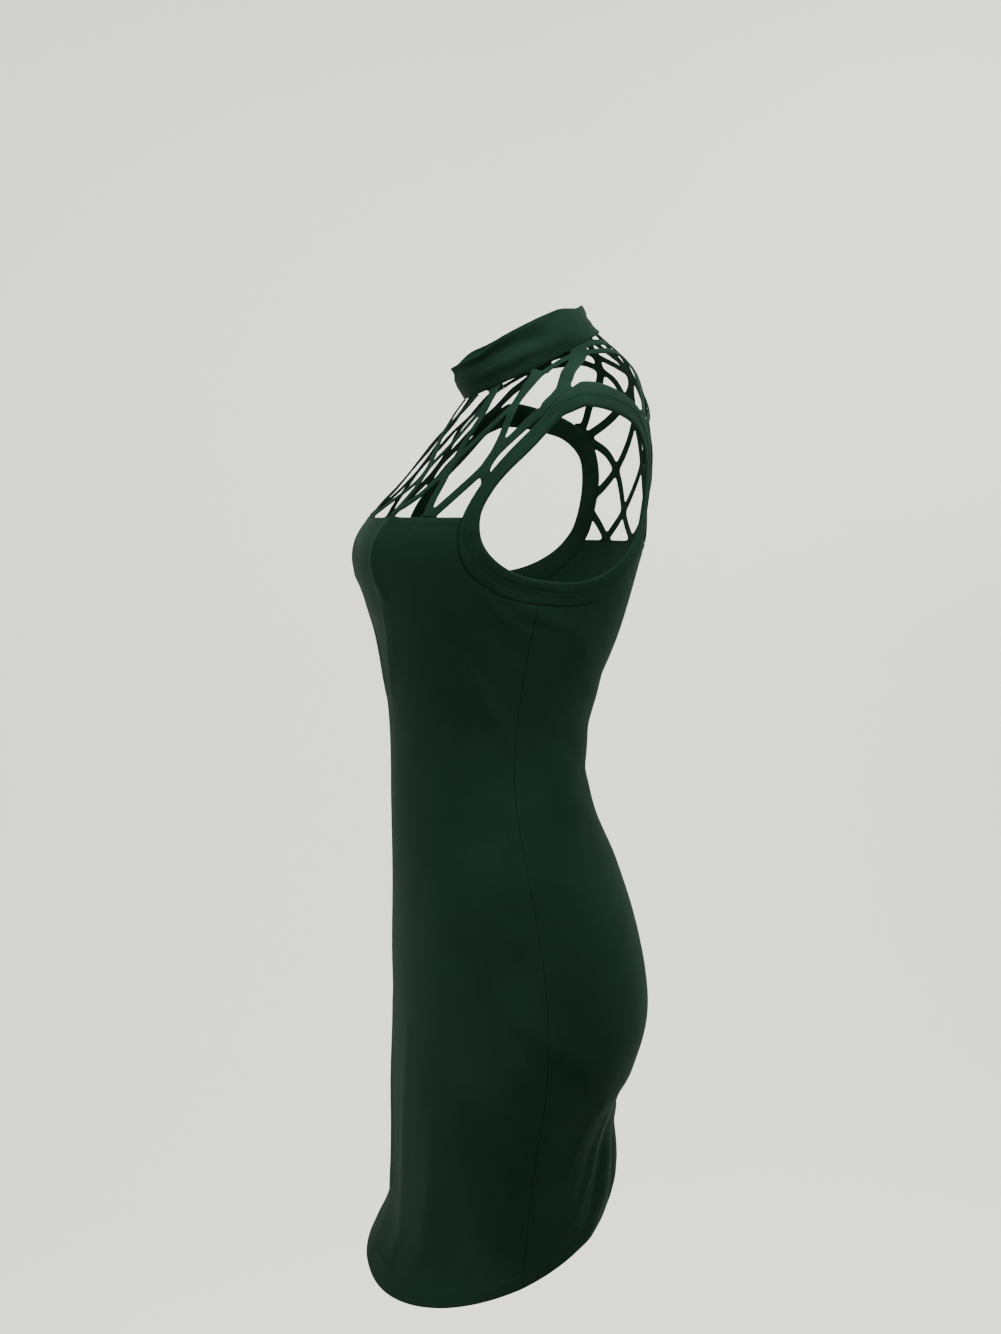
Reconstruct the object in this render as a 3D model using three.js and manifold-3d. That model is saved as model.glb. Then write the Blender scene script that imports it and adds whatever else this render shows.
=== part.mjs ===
// Bodycon dress: a sleeveless stretch-knit mini dress with a leaning stand collar, a yoke of
// crossing straps in front and behind, and a wide bound band round each armhole.
// Millimetres, +Z up. The wearer faces -Y and the wearer's left is +X. The origin lies between
// the shoulders, at the height where the armhole bands rest on them.
import * as THREE from 'three';
import { mergeVertices } from 'three/addons/utils/BufferGeometryUtils.js';
import { TessellateModifier } from 'three/addons/modifiers/TessellateModifier.js';
import Module from 'manifold-3d';

const wasm = await Module();
wasm.setup();

// Driving dimensions
const CLOTH = 1.5; // the wall of the body and of the straps
const SEAM_GAP = 0.3; // between pieces that are sewn together
const SEAM_HALF_ANGLE = 0.08; // half of the gap at a side seam, in degrees
const SHOULDER_HALF_ANGLE = 0.12; // half of the gap at a shoulder seam, in degrees
const NECK_GAP = 0.35; // in levels, between a yoke and the collar
const BUST_EDGE = -106; // level of the straight top edge of the front
const BACK_EDGE = -128; // level of the straight top edge of the back
const HEM = -800; // level of the hem, which swings up towards the back
const NECK = 0; // level of the seam between yoke and collar
const FRONT = 0; // degrees round, at the middle of the front
const BACK = 180; // degrees round, at the middle of the back
const SIDE_SEAM = 90; // degrees round from the middle of the front
const SHOULDER_SEAM = 84; // degrees round, where the front yoke meets the back yoke
const STRAP_WIDTH = 8.5; // the crossing straps of the yoke
const FINE_STRAP_WIDTH = 7; // the straps of the yoke near the middle
const BROAD_STRAP_WIDTH = 9.5; // the strap that runs along the armhole band
const SHOULDER_STRAP_WIDTH = 14; // the strap from the band over the shoulder seam to the collar
const STRAP_FLARE = 0.9; // how much wider a strap grows at its sewn ends, as a share
const FLARE_LENGTH = 14; // of the flare, with what is trimmed off
const BAND_RISE = 0.5; // how far the armhole band stands proud of the body cloth
const BAND_CROWN = 0.6; // its rounding across
const BAND_INSIDE = 1.9; // how far its inner face lies inside the body's outer face
const COLLAR_WALL = 2.4; // two layers of knit, turned at the top
const COLLAR_CROWN = 1.2; // its outward rounding between foot and top

// How finely the pieces are divided
const EDGE_COLUMNS = 7; // of a panel's half, along its straight top edge
const BESIDE_COLUMNS = 11; // of a panel's half, along the armhole band
const PANEL_ROWS = 24;
const FAN_FROM = 0.45; // share of the height above which the columns lean towards the band
const BAND_STATIONS = 56;
const COLLAR_STATIONS = 56;
const STRAP_STATIONS = 16;
const STRAP_MESH = 15; // longest edge in the yoke straps
const OUTLINE_STEPS = 240; // of the line beside an armhole band
const FLAT_MM_PER_DEGREE = 1.3; // how the angle is drawn on the flat cut of the yoke
const FOLD_MM_PER_DEGREE = 2.5; // how the angle counts along and across a fold
const ANGLE_STEP = 0.5; // degrees, for the body's slope
const LEVEL_STEP = 0.5; // for the body's slope
const STEP_LENGTH = 4; // longest step over the body
const STEP_TRIES = 3; // corrections of each step

const KNIT = { color: 0x264636, roughness: 0.7, metalness: 0 };

// The body of the dress as sections. Each gives where its ring passes the middle of the front,
// the side and the middle of the back; square is 2 for an ellipse and more for a boxier ring.
// A section's level is its height, except where rings tilt: at the hem and above the bust edge.
const SECTION_COLUMNS = ['level', 'frontY', 'frontZ', 'sideX', 'sideY', 'sideZ', 'backY', 'backZ', 'square'];
const SECTIONS = [
  [-800, -174, -793, 148, -62, -756, 44, -712, 2.15],
  [-760, -154, -756, 149, -60, -724, 53, -688, 2.15],
  [-720, -149.5, -720, 152, -58, -691, 51, -660, 2.15],
  [-680, -148, -680, 157, -56, -657, 48, -636, 2.15],
  [-640, -148, -640, 163, -52, -624, 54.5, -612, 2.15],
  [-600, -147, -600, 168, -48, -592, 66.5, -588, 2.15],
  [-555, -146, -555, 170, -46, -552, 78.5, -550, 2.15],
  [-510, -147, -510, 168, -46, -510, 77, -510, 2.15],
  [-460, -146.5, -460, 160, -50, -460, 66.5, -460, 2.15],
  [-410, -147, -410, 146, -56, -410, 50.5, -410, 2.15],
  [-365, -148, -365, 132, -62, -365, 31.5, -365, 2.15],
  [-325, -148.5, -325, 123, -64, -325, 24, -325, 2.15],
  [-285, -150, -285, 121, -62, -285, 28.5, -285, 2.15],
  [-245, -154.5, -245, 127, -58, -245, 38, -245, 2.2],
  [-210, -160, -210, 136, -54, -210, 50, -210, 2.3],
  [-180, -170.5, -180, 144, -50, -180, 58, -180, 2.4],
  [-150, -180, -150, 150, -47, -150, 66, -150, 2.4],
  [-128, -178, -128, 154, -45, -128, 73, -128, 2.3],
  [-106, -166.5, -106, 157, -42, -106, 76, -106, 2.2],
  [-80, -142, -79, 161, -30, -62, 82, -64, 1.95],
  [-54, -120, -52, 158, -14, -20, 83, -20, 1.7],
  [-41, -109.5, -39, 149, -14, -2, 77.5, 4, 1.68],
  [-28, -99, -26, 121, -12, 11, 69, 25, 1.75],
  [0, -80, -1, 66, -27, 24, 36, 57, 2.3],
].map((row) => Object.fromEntries(SECTION_COLUMNS.map((column, i) => [column, row[i]])));

// The band round the left armhole, from the shoulder forwards, down, under the arm and up the
// back: a spot on the armhole's edge, and the spot facing it on the seam at the band's far side.
// The right band mirrors it.
const ARMHOLE_BAND = [
  { angle: 89, level: -52.2, farAngle: 87, farLevel: -36 },
  { angle: 82.6, level: -52.8, farAngle: 79, farLevel: -39.5 },
  { angle: 76.6, level: -54.4, farAngle: 71.5, farLevel: -45 },
  { angle: 70, level: -70, farAngle: 61.8, farLevel: -62 },
  { angle: 64.9, level: -84.8, farAngle: 57.5, farLevel: -83 },
  { angle: 64.7, level: -98.6, farAngle: 57.9, farLevel: -99 },
  { angle: 67.2, level: -112, farAngle: 59.7, farLevel: -114 },
  { angle: 71.1, level: -128.5, farAngle: 62.8, farLevel: -134 },
  { angle: 77.9, level: -143.5, farAngle: 70, farLevel: -156 },
  { angle: 85, level: -153.2, farAngle: 80, farLevel: -170.5 },
  { angle: 93, level: -158.5, farAngle: 92, farLevel: -178 },
  { angle: 104, level: -159, farAngle: 106, farLevel: -179 },
  { angle: 116, level: -152.5, farAngle: 122, farLevel: -171 },
  { angle: 128, level: -139, farAngle: 137, farLevel: -152.5 },
  { angle: 136, level: -120, farAngle: 145.5, farLevel: -127 },
  { angle: 139.5, level: -100, farAngle: 149, farLevel: -101 },
  { angle: 139.5, level: -85, farAngle: 148, farLevel: -79 },
  { angle: 136.8, level: -71.6, farAngle: 141.5, farLevel: -61 },
  { angle: 128, level: -61.2, farAngle: 130, farLevel: -50 },
  { angle: 116, level: -56, farAngle: 115.5, farLevel: -41.8 },
  { angle: 103, level: -53, farAngle: 101.5, farLevel: -36.6 },
  { angle: 95.5, level: -52.3, farAngle: 94, farLevel: -35.5 },
];

// A strap is given by places along its middle: degrees round, then level. Each runs on past the
// seams at its ends and is trimmed there. Both yokes have a part of the shoulder strap.
const SHOULDER_STRAP = {
  name: 'band to collar at the shoulder',
  width: SHOULDER_STRAP_WIDTH,
  path: [
    [74, -43], [76.5, -38.5], [79.5, -32], [86.2, -24], [97, -15.5], [108, -8.6], [115.5, -2.5], [120.5, 3.5]],
};

// The straps of the left half of the front yoke.
const FRONT_STRAPS = [
  { name: 'outer rising out', width: BROAD_STRAP_WIDTH, path: [
    [42, -113], [44.8, -103.6], [49.4, -88.1], [52.8, -76.9], [54.5, -66.1], [58.3, -56.6],
    [62.6, -49.9], [67.1, -45.9], [72.3, -42], [77, -37]] },
  { name: 'middle rising out', width: STRAP_WIDTH, path: [
    [20, -113], [22.9, -103.5], [29.2, -89], [33.6, -74.1], [37.3, -59.1], [41.9, -48.9], [48.1, -39.4],
    [53.6, -32], [58.9, -25.6], [67.7, -17.6], [78.9, -10.3], [89.4, -6.9]] },
  { name: 'inner rising out', width: FINE_STRAP_WIDTH, path: [
    [-6, -113], [0, -105], [9, -93.5], [17.5, -79.5], [20.6, -63], [25.8, -46.3], [30.6, -31], [36.8, -19],
    [43.2, -9], [49, 4]] },
  { name: 'outer rising in', width: STRAP_WIDTH, path: [
    [63, -89], [57.5, -82.5], [54.4, -74.5], [53.3, -66.3], [52.3, -57.3], [51.9, -49.2], [53.3, -39.5],
    [55.2, -30.7], [59.9, -22.7], [68.1, -13.6], [78.4, -6.4], [88, 3]] },
  { name: 'middle rising in', width: STRAP_WIDTH, path: [
    [45, -113], [42, -103.5], [39, -92.1], [36.3, -77], [34.5, -65], [33.6, -51.1], [34.8, -38.2],
    [37.5, -23.7], [42, -8.5], [46, 4]] },
  { name: 'inner rising in', width: FINE_STRAP_WIDTH, path: [
    [24, -113], [22.6, -101.5], [21.8, -90.6], [21.2, -80], [19, -66.7], [14.5, -52.3], [8, -40], [0, -29],
    [-8, -19.5], [-15, -9], [-20, 4]] },
  SHOULDER_STRAP,
];

// The straps of the left half of the back yoke.
const BACK_STRAPS = [
  { name: 'over the shoulder', width: STRAP_WIDTH, path: [
    [78.9, -10.3], [89.4, -6.9], [99.1, -4.5], [109, -5], [120, -7.6], [133.6, -10.6], [146, -14],
    [154, -21.5], [163, -36], [171, -54], [180, -76], [190, -101], [198, -119], [204, -136]] },
  SHOULDER_STRAP,
  { name: 'below the collar', width: STRAP_WIDTH, path: [
    [114, 5], [124, -0.8], [141, -4], [156, -8.5], [166, -18], [180, -31], [194, -42], [208, -51], [219, -58],
    [226, -62]] },
  { name: 'outer rising out', width: STRAP_WIDTH, path: [
    [184, -136], [178, -122], [170, -103], [160, -81], [152, -69.5], [141, -61.5], [134, -56]] },
  { name: 'short rising out', width: STRAP_WIDTH, path: [
    [163, -136], [158, -124], [152, -110], [143, -97]] },
  { name: 'outer rising in', width: STRAP_WIDTH, path: [
    [142, -97], [151, -89], [159, -78], [166, -62], [171, -47], [177, -30], [184, -13], [191, 4]] },
  { name: 'upper rising in', width: STRAP_WIDTH, path: [
    [131, -61], [136, -55.5], [143.7, -39.2], [154.4, -22], [161.7, -9], [168, 4]] },
];

// The largest folds of the cloth, each a straight ridge or trough between two places.
const FOLDS = [
  { name: 'bust ridge', angle: 24, level: -104, toAngle: 22, toLevel: -165, width: 11, rise: 2.2 },
  { name: 'bust ridge below', angle: 25, level: -168, toAngle: 10, toLevel: -250, width: 14, rise: 1.6 },
  { name: 'under the arm', angle: 80, level: -170, toAngle: 96, toLevel: -190, width: 6, rise: 1.8 },
  { name: 'across the ribs', angle: 56, level: -180, toAngle: 86, toLevel: -290, width: 15, rise: 1.8 },
  { name: 'small of the back', angle: 128, level: -262, toAngle: 170, toLevel: -300, width: 13, rise: -2 },
  { name: 'below the seat', angle: 138, level: -628, toAngle: 172, toLevel: -668, width: 15, rise: -2.5 },
  { name: 'seat to hem', angle: 118, level: -620, toAngle: 104, toLevel: -760, width: 14, rise: 2.2 },
  { name: 'seat to hem behind', angle: 142, level: -668, toAngle: 126, toLevel: -790, width: 13, rise: 2.2 },
  { name: 'hip drag', angle: 58, level: -480, toAngle: 112, toLevel: -572, width: 20, rise: 1.4 },
];

// How fast a column changes with the level at a row, from its neighbours.
function slopeAt(index, column) {
  const below = SECTIONS[Math.max(index - 1, 0)];
  const above = SECTIONS[Math.min(index + 1, SECTIONS.length - 1)];
  return (above[column] - below[column]) / (above.level - below.level);
}

// The section at any level, on a smooth curve through the rows.
function sectionAt(level) {
  let index = 0;
  while (index < SECTIONS.length - 2 && SECTIONS[index + 1].level <= level) index += 1;
  const low = SECTIONS[index];
  const high = SECTIONS[index + 1];
  const span = high.level - low.level;
  const t = (level - low.level) / span;
  const section = {};
  for (const column of SECTION_COLUMNS) {
    const leave = slopeAt(index, column) * span;
    const arrive = slopeAt(index + 1, column) * span;
    const rise = high[column] - low[column];
    section[column] = low[column] + leave * t + (3 * rise - 2 * leave - arrive) * t * t
      + (leave + arrive - 2 * rise) * t * t * t;
  }
  return section;
}

const signedPower = (value, power) => Math.sign(value) * Math.abs(value) ** power;

// A place on the smooth body, without folds. Angle 0 is the middle of the front, 90 the left side.
function bodyPlace(angle, level) {
  const section = sectionAt(level);
  const turn = THREE.MathUtils.degToRad(angle);
  const power = 2 / section.square;
  const aside = signedPower(Math.sin(turn), power);
  const ahead = Math.abs(Math.cos(turn)) ** power;
  const inFront = Math.cos(turn) > 0;
  const endY = inFront ? section.frontY : section.backY;
  const endZ = inFront ? section.frontZ : section.backZ;
  return new THREE.Vector3(
    section.sideX * aside,
    section.sideY + (endY - section.sideY) * ahead,
    section.sideZ + (endZ - section.sideZ) * ahead,
  );
}

// How the place moves for one degree round and for one level up.
function bodyTangents(angle, level) {
  const round = bodyPlace(angle + ANGLE_STEP, level).sub(bodyPlace(angle - ANGLE_STEP, level));
  const up = bodyPlace(angle, level + LEVEL_STEP).sub(bodyPlace(angle, level - LEVEL_STEP));
  return { round: round.divideScalar(2 * ANGLE_STEP), up: up.divideScalar(2 * LEVEL_STEP) };
}

function bodyNormal(angle, level) {
  const { round, up } = bodyTangents(angle, level);
  return round.cross(up).normalize();
}

// How far the folds lift the cloth off the smooth body. Both sides of the dress have them.
function foldRise(angle, level) {
  const mirrored = Math.abs(THREE.MathUtils.euclideanModulo(angle + 180, 360) - 180);
  let total = 0;
  for (const fold of FOLDS) {
    const turn = (fold.toAngle - fold.angle) * FOLD_MM_PER_DEGREE;
    const along = new THREE.Vector2(turn, fold.toLevel - fold.level);
    const here = new THREE.Vector2((mirrored - fold.angle) * FOLD_MM_PER_DEGREE, level - fold.level);
    const share = here.dot(along) / along.lengthSq();
    const aside = here.cross(along) / along.length() / fold.width;
    const past = Math.max(0, -share, share - 1) * along.length() / fold.width;
    const fade = Math.sin(Math.PI * THREE.MathUtils.clamp(share, 0.12, 0.88)) ** 0.5;
    total += fold.rise * fade * Math.exp(-aside * aside - past * past);
  }
  return total;
}

// A place in the cloth: out is 0 on its outer face and less towards the body.
function clothPlace(angle, level, out) {
  return bodyPlace(angle, level).addScaledVector(bodyNormal(angle, level), foldRise(angle, level) + out);
}

// The spot on the body that lies nearest to a target, from a spot close by.
function nearestSpot(from, target) {
  let { angle, level } = from;
  for (let tries = 0; tries < STEP_TRIES; tries += 1) {
    const { round, up } = bodyTangents(angle, level);
    const left = target.clone().sub(bodyPlace(angle, level));
    const [a, b, c] = [round.dot(round), round.dot(up), up.dot(up)];
    const [p, q] = [round.dot(left), up.dot(left)];
    const size = a * c - b * b;
    angle += (c * p - b * q) / size;
    level += (a * q - b * p) / size;
  }
  return { angle, level };
}

// The spot that lies a distance away over the body in the direction of a heading.
function spotAcross(spot, heading, distance) {
  const steps = Math.max(1, Math.ceil(distance / STEP_LENGTH));
  let reached = spot;
  for (let step = 0; step < steps; step += 1) {
    const flat = heading.clone().projectOnPlane(bodyNormal(reached.angle, reached.level));
    const from = bodyPlace(reached.angle, reached.level);
    const target = from.addScaledVector(flat.normalize(), distance / steps);
    reached = nearestSpot(reached, target);
  }
  return reached;
}

// A spot laid flat in the plane of angle and level, and back.
const flatPoint = ({ angle, level }) => new THREE.Vector2(angle * FLAT_MM_PER_DEGREE, level);
const spotOf = (point) => ({ angle: point.x / FLAT_MM_PER_DEGREE, level: point.y });

// A smooth line through spots, drawn in the plane of angle and level.
function smoothLine(spots, closed) {
  const points = spots.map(([angle, level]) => new THREE.Vector3(angle * FLAT_MM_PER_DEGREE, level, 0));
  return new THREE.CatmullRomCurve3(points, closed, 'centripetal');
}

// The direction across a line, over the body, to the right of the way it runs.
function headingAcross(line, t) {
  const spot = spotOf(line.getPoint(t));
  const along = line.getTangent(t);
  const { round, up } = bodyTangents(spot.angle, spot.level);
  const way = round.multiplyScalar(along.x / FLAT_MM_PER_DEGREE).addScaledVector(up, along.y);
  return way.cross(bodyNormal(spot.angle, spot.level)).normalize();
}

const armholeLine = smoothLine(ARMHOLE_BAND.map((row) => [row.angle, row.level]), true);
const bandFarLine = smoothLine(ARMHOLE_BAND.map((row) => [row.farAngle, row.farLevel]), true);

// A spot in the left armhole band: share 0 is the armhole's edge and 1 the seam on the far side.
function bandSpot(t, share) {
  return spotOf(armholeLine.getPoint(t).lerp(bandFarLine.getPoint(t), share));
}

// A spot just past the band's far side, where the neighbouring cloth begins.
function besideBand(t) {
  return spotAcross(bandSpot(t, 1), headingAcross(bandFarLine, t), SEAM_GAP);
}

const bandOutline = Array.from({ length: OUTLINE_STEPS }, (_, i) => besideBand(i / OUTLINE_STEPS));

const blendSpots = (a, b, t) => ({
  angle: THREE.MathUtils.lerp(a.angle, b.angle, t),
  level: THREE.MathUtils.lerp(a.level, b.level, t),
});

// The stretch of a closed loop of spots where a measure is above zero, with its ends worked out.
function stretchWhere(loop, measure) {
  const values = loop.map(measure);
  const count = loop.length;
  const first = values.findIndex((value, i) => value < 0 && values[(i + 1) % count] >= 0);
  const stretch = [];
  for (let k = 0; k < count; k += 1) {
    const here = (first + k) % count;
    const next = (here + 1) % count;
    if (values[here] >= 0) stretch.push(loop[here]);
    if ((values[here] >= 0) !== (values[next] >= 0)) {
      stretch.push(blendSpots(loop[here], loop[next], values[here] / (values[here] - values[next])));
    }
    if (values[here] >= 0 && values[next] < 0) break;
  }
  return stretch;
}

// Spots spread evenly along a line of spots.
function spreadEvenly(spots, count) {
  const line = new THREE.CurvePath();
  for (let i = 0; i + 1 < spots.length; i += 1) {
    const [from, to] = [spots[i], spots[i + 1]].map(flatPoint);
    if (from.distanceTo(to) > 0.001) line.add(new THREE.LineCurve(from, to));
  }
  return Array.from({ length: count + 1 }, (_, i) => spotOf(line.getPoint(i / count)));
}

// A mesh from vertices and quads, with its faces turned outwards.
function meshFrom(places, quads) {
  const geometry = new THREE.BufferGeometry();
  const numbers = places.flatMap((p) => [p.x, p.y, p.z]);
  geometry.setAttribute('position', new THREE.Float32BufferAttribute(numbers, 3));
  geometry.setIndex(quads.flatMap(([a, b, c, d]) => [a, b, c, a, c, d]));
  geometry.computeVertexNormals();
  return geometry;
}

// A wall over a grid: place(across, along, side) with side 1 on the outer face and 0 on the inner.
function gridWall(columns, rows, place) {
  const places = [];
  for (const side of [1, 0]) {
    for (let row = 0; row <= rows; row += 1) {
      for (let column = 0; column <= columns; column += 1) {
        places.push(place(column / columns, row / rows, side));
      }
    }
  }
  const layer = (columns + 1) * (rows + 1);
  const at = (column, row, side) => (1 - side) * layer + row * (columns + 1) + column;
  const quads = [];
  for (let row = 0; row < rows; row += 1) {
    for (let column = 0; column < columns; column += 1) {
      const [left, right, above] = [column, column + 1, row + 1];
      quads.push([at(left, row, 1), at(right, row, 1), at(right, above, 1), at(left, above, 1)]);
      quads.push([at(left, row, 0), at(left, above, 0), at(right, above, 0), at(right, row, 0)]);
    }
  }
  for (let column = 0; column < columns; column += 1) {
    quads.push([at(column, 0, 0), at(column + 1, 0, 0), at(column + 1, 0, 1), at(column, 0, 1)]);
    quads.push([at(column, rows, 1), at(column + 1, rows, 1), at(column + 1, rows, 0), at(column, rows, 0)]);
  }
  for (let row = 0; row < rows; row += 1) {
    quads.push([at(0, row, 0), at(0, row, 1), at(0, row + 1, 1), at(0, row + 1, 0)]);
    quads.push([at(columns, row, 1), at(columns, row, 0), at(columns, row + 1, 0), at(columns, row + 1, 1)]);
  }
  return meshFrom(places, quads);
}

// A ring whose cross-section is a closed loop: place(share round the ring, index in the loop).
function ringWall(stations, loopLength, place) {
  const places = [];
  const quads = [];
  for (let station = 0; station < stations; station += 1) {
    for (let i = 0; i < loopLength; i += 1) places.push(place(station / stations, i));
  }
  for (let station = 0; station < stations; station += 1) {
    const here = station * loopLength;
    const next = ((station + 1) % stations) * loopLength;
    for (let i = 0; i < loopLength; i += 1) {
      const j = (i + 1) % loopLength;
      quads.push([here + i, next + i, next + j, here + j]);
    }
  }
  return meshFrom(places, quads);
}

// The top line of a body panel's left half: its straight edge, then the band down to the side.
function panelTop(edgeLevel, middle) {
  const sideways = middle === FRONT ? 1 : -1;
  const seam = SIDE_SEAM - sideways * SEAM_HALF_ANGLE;
  const beside = stretchWhere(bandOutline, (s) => Math.min(edgeLevel - s.level, sideways * (seam - s.angle)));
  if (middle !== FRONT) beside.reverse();
  const edge = spreadEvenly([{ angle: middle, level: edgeLevel }, beside[0]], EDGE_COLUMNS);
  return [...edge, ...spreadEvenly(beside, BESIDE_COLUMNS).slice(1)];
}

// A body panel from hem to top edge, round half of the body about its middle angle.
function bodyPanel(edgeLevel, middle) {
  const half = EDGE_COLUMNS + BESIDE_COLUMNS;
  const top = panelTop(edgeLevel, middle);
  const reach = SIDE_SEAM - SEAM_HALF_ANGLE;
  const place = (across, up, side) => {
    const column = Math.round((across * 2 - 1) * half);
    const above = top[Math.abs(column)];
    const topTurn = Math.abs(above.angle - middle);
    const evenTurn = (reach * Math.abs(column)) / half;
    const turn = THREE.MathUtils.lerp(evenTurn, topTurn, THREE.MathUtils.smoothstep(up, FAN_FROM, 1));
    const level = THREE.MathUtils.lerp(HEM, above.level, up);
    return clothPlace(middle + Math.sign(column) * turn, level, (side - 1) * CLOTH);
  };
  return gridWall(half * 2, PANEL_ROWS, place);
}

// The armhole band's cross-section: share of its width, and how far out of the body's face.
const BAND_SECTION = [
  { share: 0, out: BAND_RISE },
  { share: 0, out: -BAND_INSIDE },
  { share: 0.5, out: -BAND_INSIDE },
  { share: 1, out: -BAND_INSIDE },
  { share: 1, out: BAND_RISE },
  { share: 0.5, out: BAND_RISE + BAND_CROWN },
];

// The band round one armhole. The right one is the left one mirrored.
function armholeBand(side) {
  const place = (t, i) => {
    const { share, out } = BAND_SECTION[i];
    const { angle, level } = bandSpot(side > 0 ? t : 1 - t, share);
    return clothPlace(side * angle, level, out);
  };
  return ringWall(BAND_STATIONS, BAND_SECTION.length, place);
}

// The collar's top ring, leaning forwards over its foot, which is the neck seam.
const COLLAR_TOP = {
  frontY: -95, frontZ: 26, sideX: 63, sideY: -38, sideZ: 54, backY: 18, backZ: 82, square: 2.1,
};

function collarTopPlace(angle) {
  const turn = THREE.MathUtils.degToRad(angle);
  const power = 2 / COLLAR_TOP.square;
  const ahead = Math.abs(Math.cos(turn)) ** power;
  const inFront = Math.cos(turn) > 0;
  const endY = inFront ? COLLAR_TOP.frontY : COLLAR_TOP.backY;
  const endZ = inFront ? COLLAR_TOP.frontZ : COLLAR_TOP.backZ;
  return new THREE.Vector3(
    COLLAR_TOP.sideX * signedPower(Math.sin(turn), power),
    COLLAR_TOP.sideY + (endY - COLLAR_TOP.sideY) * ahead,
    COLLAR_TOP.sideZ + (endZ - COLLAR_TOP.sideZ) * ahead,
  );
}

// The collar's cross-section: share of its height, and how far out of its outer face.
const COLLAR_SECTION = [
  { rise: 0, out: 0 },
  { rise: 0.5, out: COLLAR_CROWN },
  { rise: 0.95, out: 0 },
  { rise: 1, out: -COLLAR_WALL / 2 },
  { rise: 0.95, out: -COLLAR_WALL },
  { rise: 0.5, out: COLLAR_CROWN - COLLAR_WALL },
  { rise: 0, out: -COLLAR_WALL },
];

function collar() {
  const middlePlace = (angle, rise) => bodyPlace(angle, NECK).lerp(collarTopPlace(angle), rise);
  const place = (t, i) => {
    const { rise, out } = COLLAR_SECTION[i];
    const angle = 360 * t;
    const round = middlePlace(angle + 1, rise).sub(middlePlace(angle - 1, rise));
    const up = middlePlace(angle, 1).sub(middlePlace(angle, 0));
    return middlePlace(angle, rise).addScaledVector(round.cross(up).normalize(), out);
  };
  return ringWall(COLLAR_STATIONS, COLLAR_SECTION.length, place);
}

// A flat plate from an outline of spots, lying on both sides of the plane of angle and level.
function flatPlate(spots, thickness) {
  const shape = new THREE.Shape(spots.map(flatPoint));
  const plate = new THREE.ExtrudeGeometry(shape, { depth: thickness, bevelEnabled: false });
  plate.translate(0, 0, -thickness / 2);
  plate.deleteAttribute('normal');
  plate.deleteAttribute('uv');
  const merged = mergeVertices(plate, 1e-4);
  return new wasm.Manifold(new wasm.Mesh({
    numProp: 3,
    vertProperties: new Float32Array(merged.getAttribute('position').array),
    triVerts: new Uint32Array(merged.getIndex().array),
  }));
}

// One strap of the yoke laid flat, cut so that it is evenly wide on the body. The strap of the
// right side mirrors the left one about the middle of the front, which is also that of the back.
function flatStrap(strap, mirror) {
  const line = smoothLine(strap.path, false);
  const length = line.getLength();
  const left = [];
  const right = [];
  for (let i = 0; i <= STRAP_STATIONS; i += 1) {
    const share = i / STRAP_STATIONS;
    const fromEnd = Math.min(share, 1 - share) * length;
    const flare = 1 + STRAP_FLARE * Math.max(0, 1 - fromEnd / FLARE_LENGTH) ** 2;
    const t = line.getUtoTmapping(share);
    const spot = spotOf(line.getPoint(t));
    const heading = headingAcross(line, t);
    right.push(spotAcross(spot, heading, (strap.width / 2) * flare));
    left.push(spotAcross(spot, heading.negate(), (strap.width / 2) * flare));
  }
  return flatPlate([...right, ...left.reverse()].map(mirror), CLOTH);
}

const keepSpot = (spot) => spot;
const mirrorAbout = (middle) => (spot) => ({ angle: 2 * middle - spot.angle, level: spot.level });

// The outline within which a yoke is cut: its straight edge, the armhole bands, the shoulder
// seams and the neck.
function yokeRegion(edgeLevel, middle) {
  const sideways = middle === FRONT ? 1 : -1;
  const seam = SHOULDER_SEAM - sideways * SHOULDER_HALF_ANGLE;
  const above = edgeLevel + SEAM_GAP;
  const beside = stretchWhere(bandOutline, (s) => Math.min(s.level - above, sideways * (seam - s.angle)));
  if (middle === FRONT) beside.reverse();
  const leftSide = [...beside, { angle: seam, level: NECK - NECK_GAP }];
  const rightSide = leftSide.map(mirrorAbout(middle)).reverse();
  return flatPlate([...leftSide, ...rightSide], CLOTH * 2);
}

// A yoke of crossing straps, drawn flat, joined, trimmed and laid over the shoulders.
function strapYoke(straps, edgeLevel, middle) {
  const flat = straps.flatMap((strap) => [flatStrap(strap, keepSpot), flatStrap(strap, mirrorAbout(middle))]);
  const joined = flat.reduce((all, strap) => all.add(strap));
  const { vertProperties, triVerts } = joined.intersect(yokeRegion(edgeLevel, middle)).getMesh();
  const cut = new THREE.BufferGeometry();
  cut.setAttribute('position', new THREE.Float32BufferAttribute(vertProperties, 3));
  cut.setIndex(new THREE.Uint32BufferAttribute(triVerts, 1));
  const fine = new TessellateModifier(STRAP_MESH, 12).modify(cut);
  const positions = fine.getAttribute('position');
  for (let i = 0; i < positions.count; i += 1) {
    const { angle, level } = spotOf(new THREE.Vector3().fromBufferAttribute(positions, i));
    const place = clothPlace(angle, level, positions.getZ(i) - CLOTH / 2);
    positions.setXYZ(i, place.x, place.y, place.z);
  }
  fine.deleteAttribute('normal');
  return mergeVertices(fine, 1e-3);
}

const group = new THREE.Group();

function addPiece(name, geometry) {
  const mesh = new THREE.Mesh(geometry, new THREE.MeshStandardMaterial(KNIT));
  mesh.name = name;
  group.add(mesh);
}

addPiece('front_panel', bodyPanel(BUST_EDGE, FRONT));
addPiece('back_panel', bodyPanel(BACK_EDGE, BACK));
addPiece('front_lattice', strapYoke(FRONT_STRAPS, BUST_EDGE, FRONT));
addPiece('back_lattice', strapYoke(BACK_STRAPS, BACK_EDGE, BACK));
addPiece('collar', collar());
addPiece('armhole_band_left', armholeBand(1));
addPiece('armhole_band_right', armholeBand(-1));

export default group;
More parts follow.
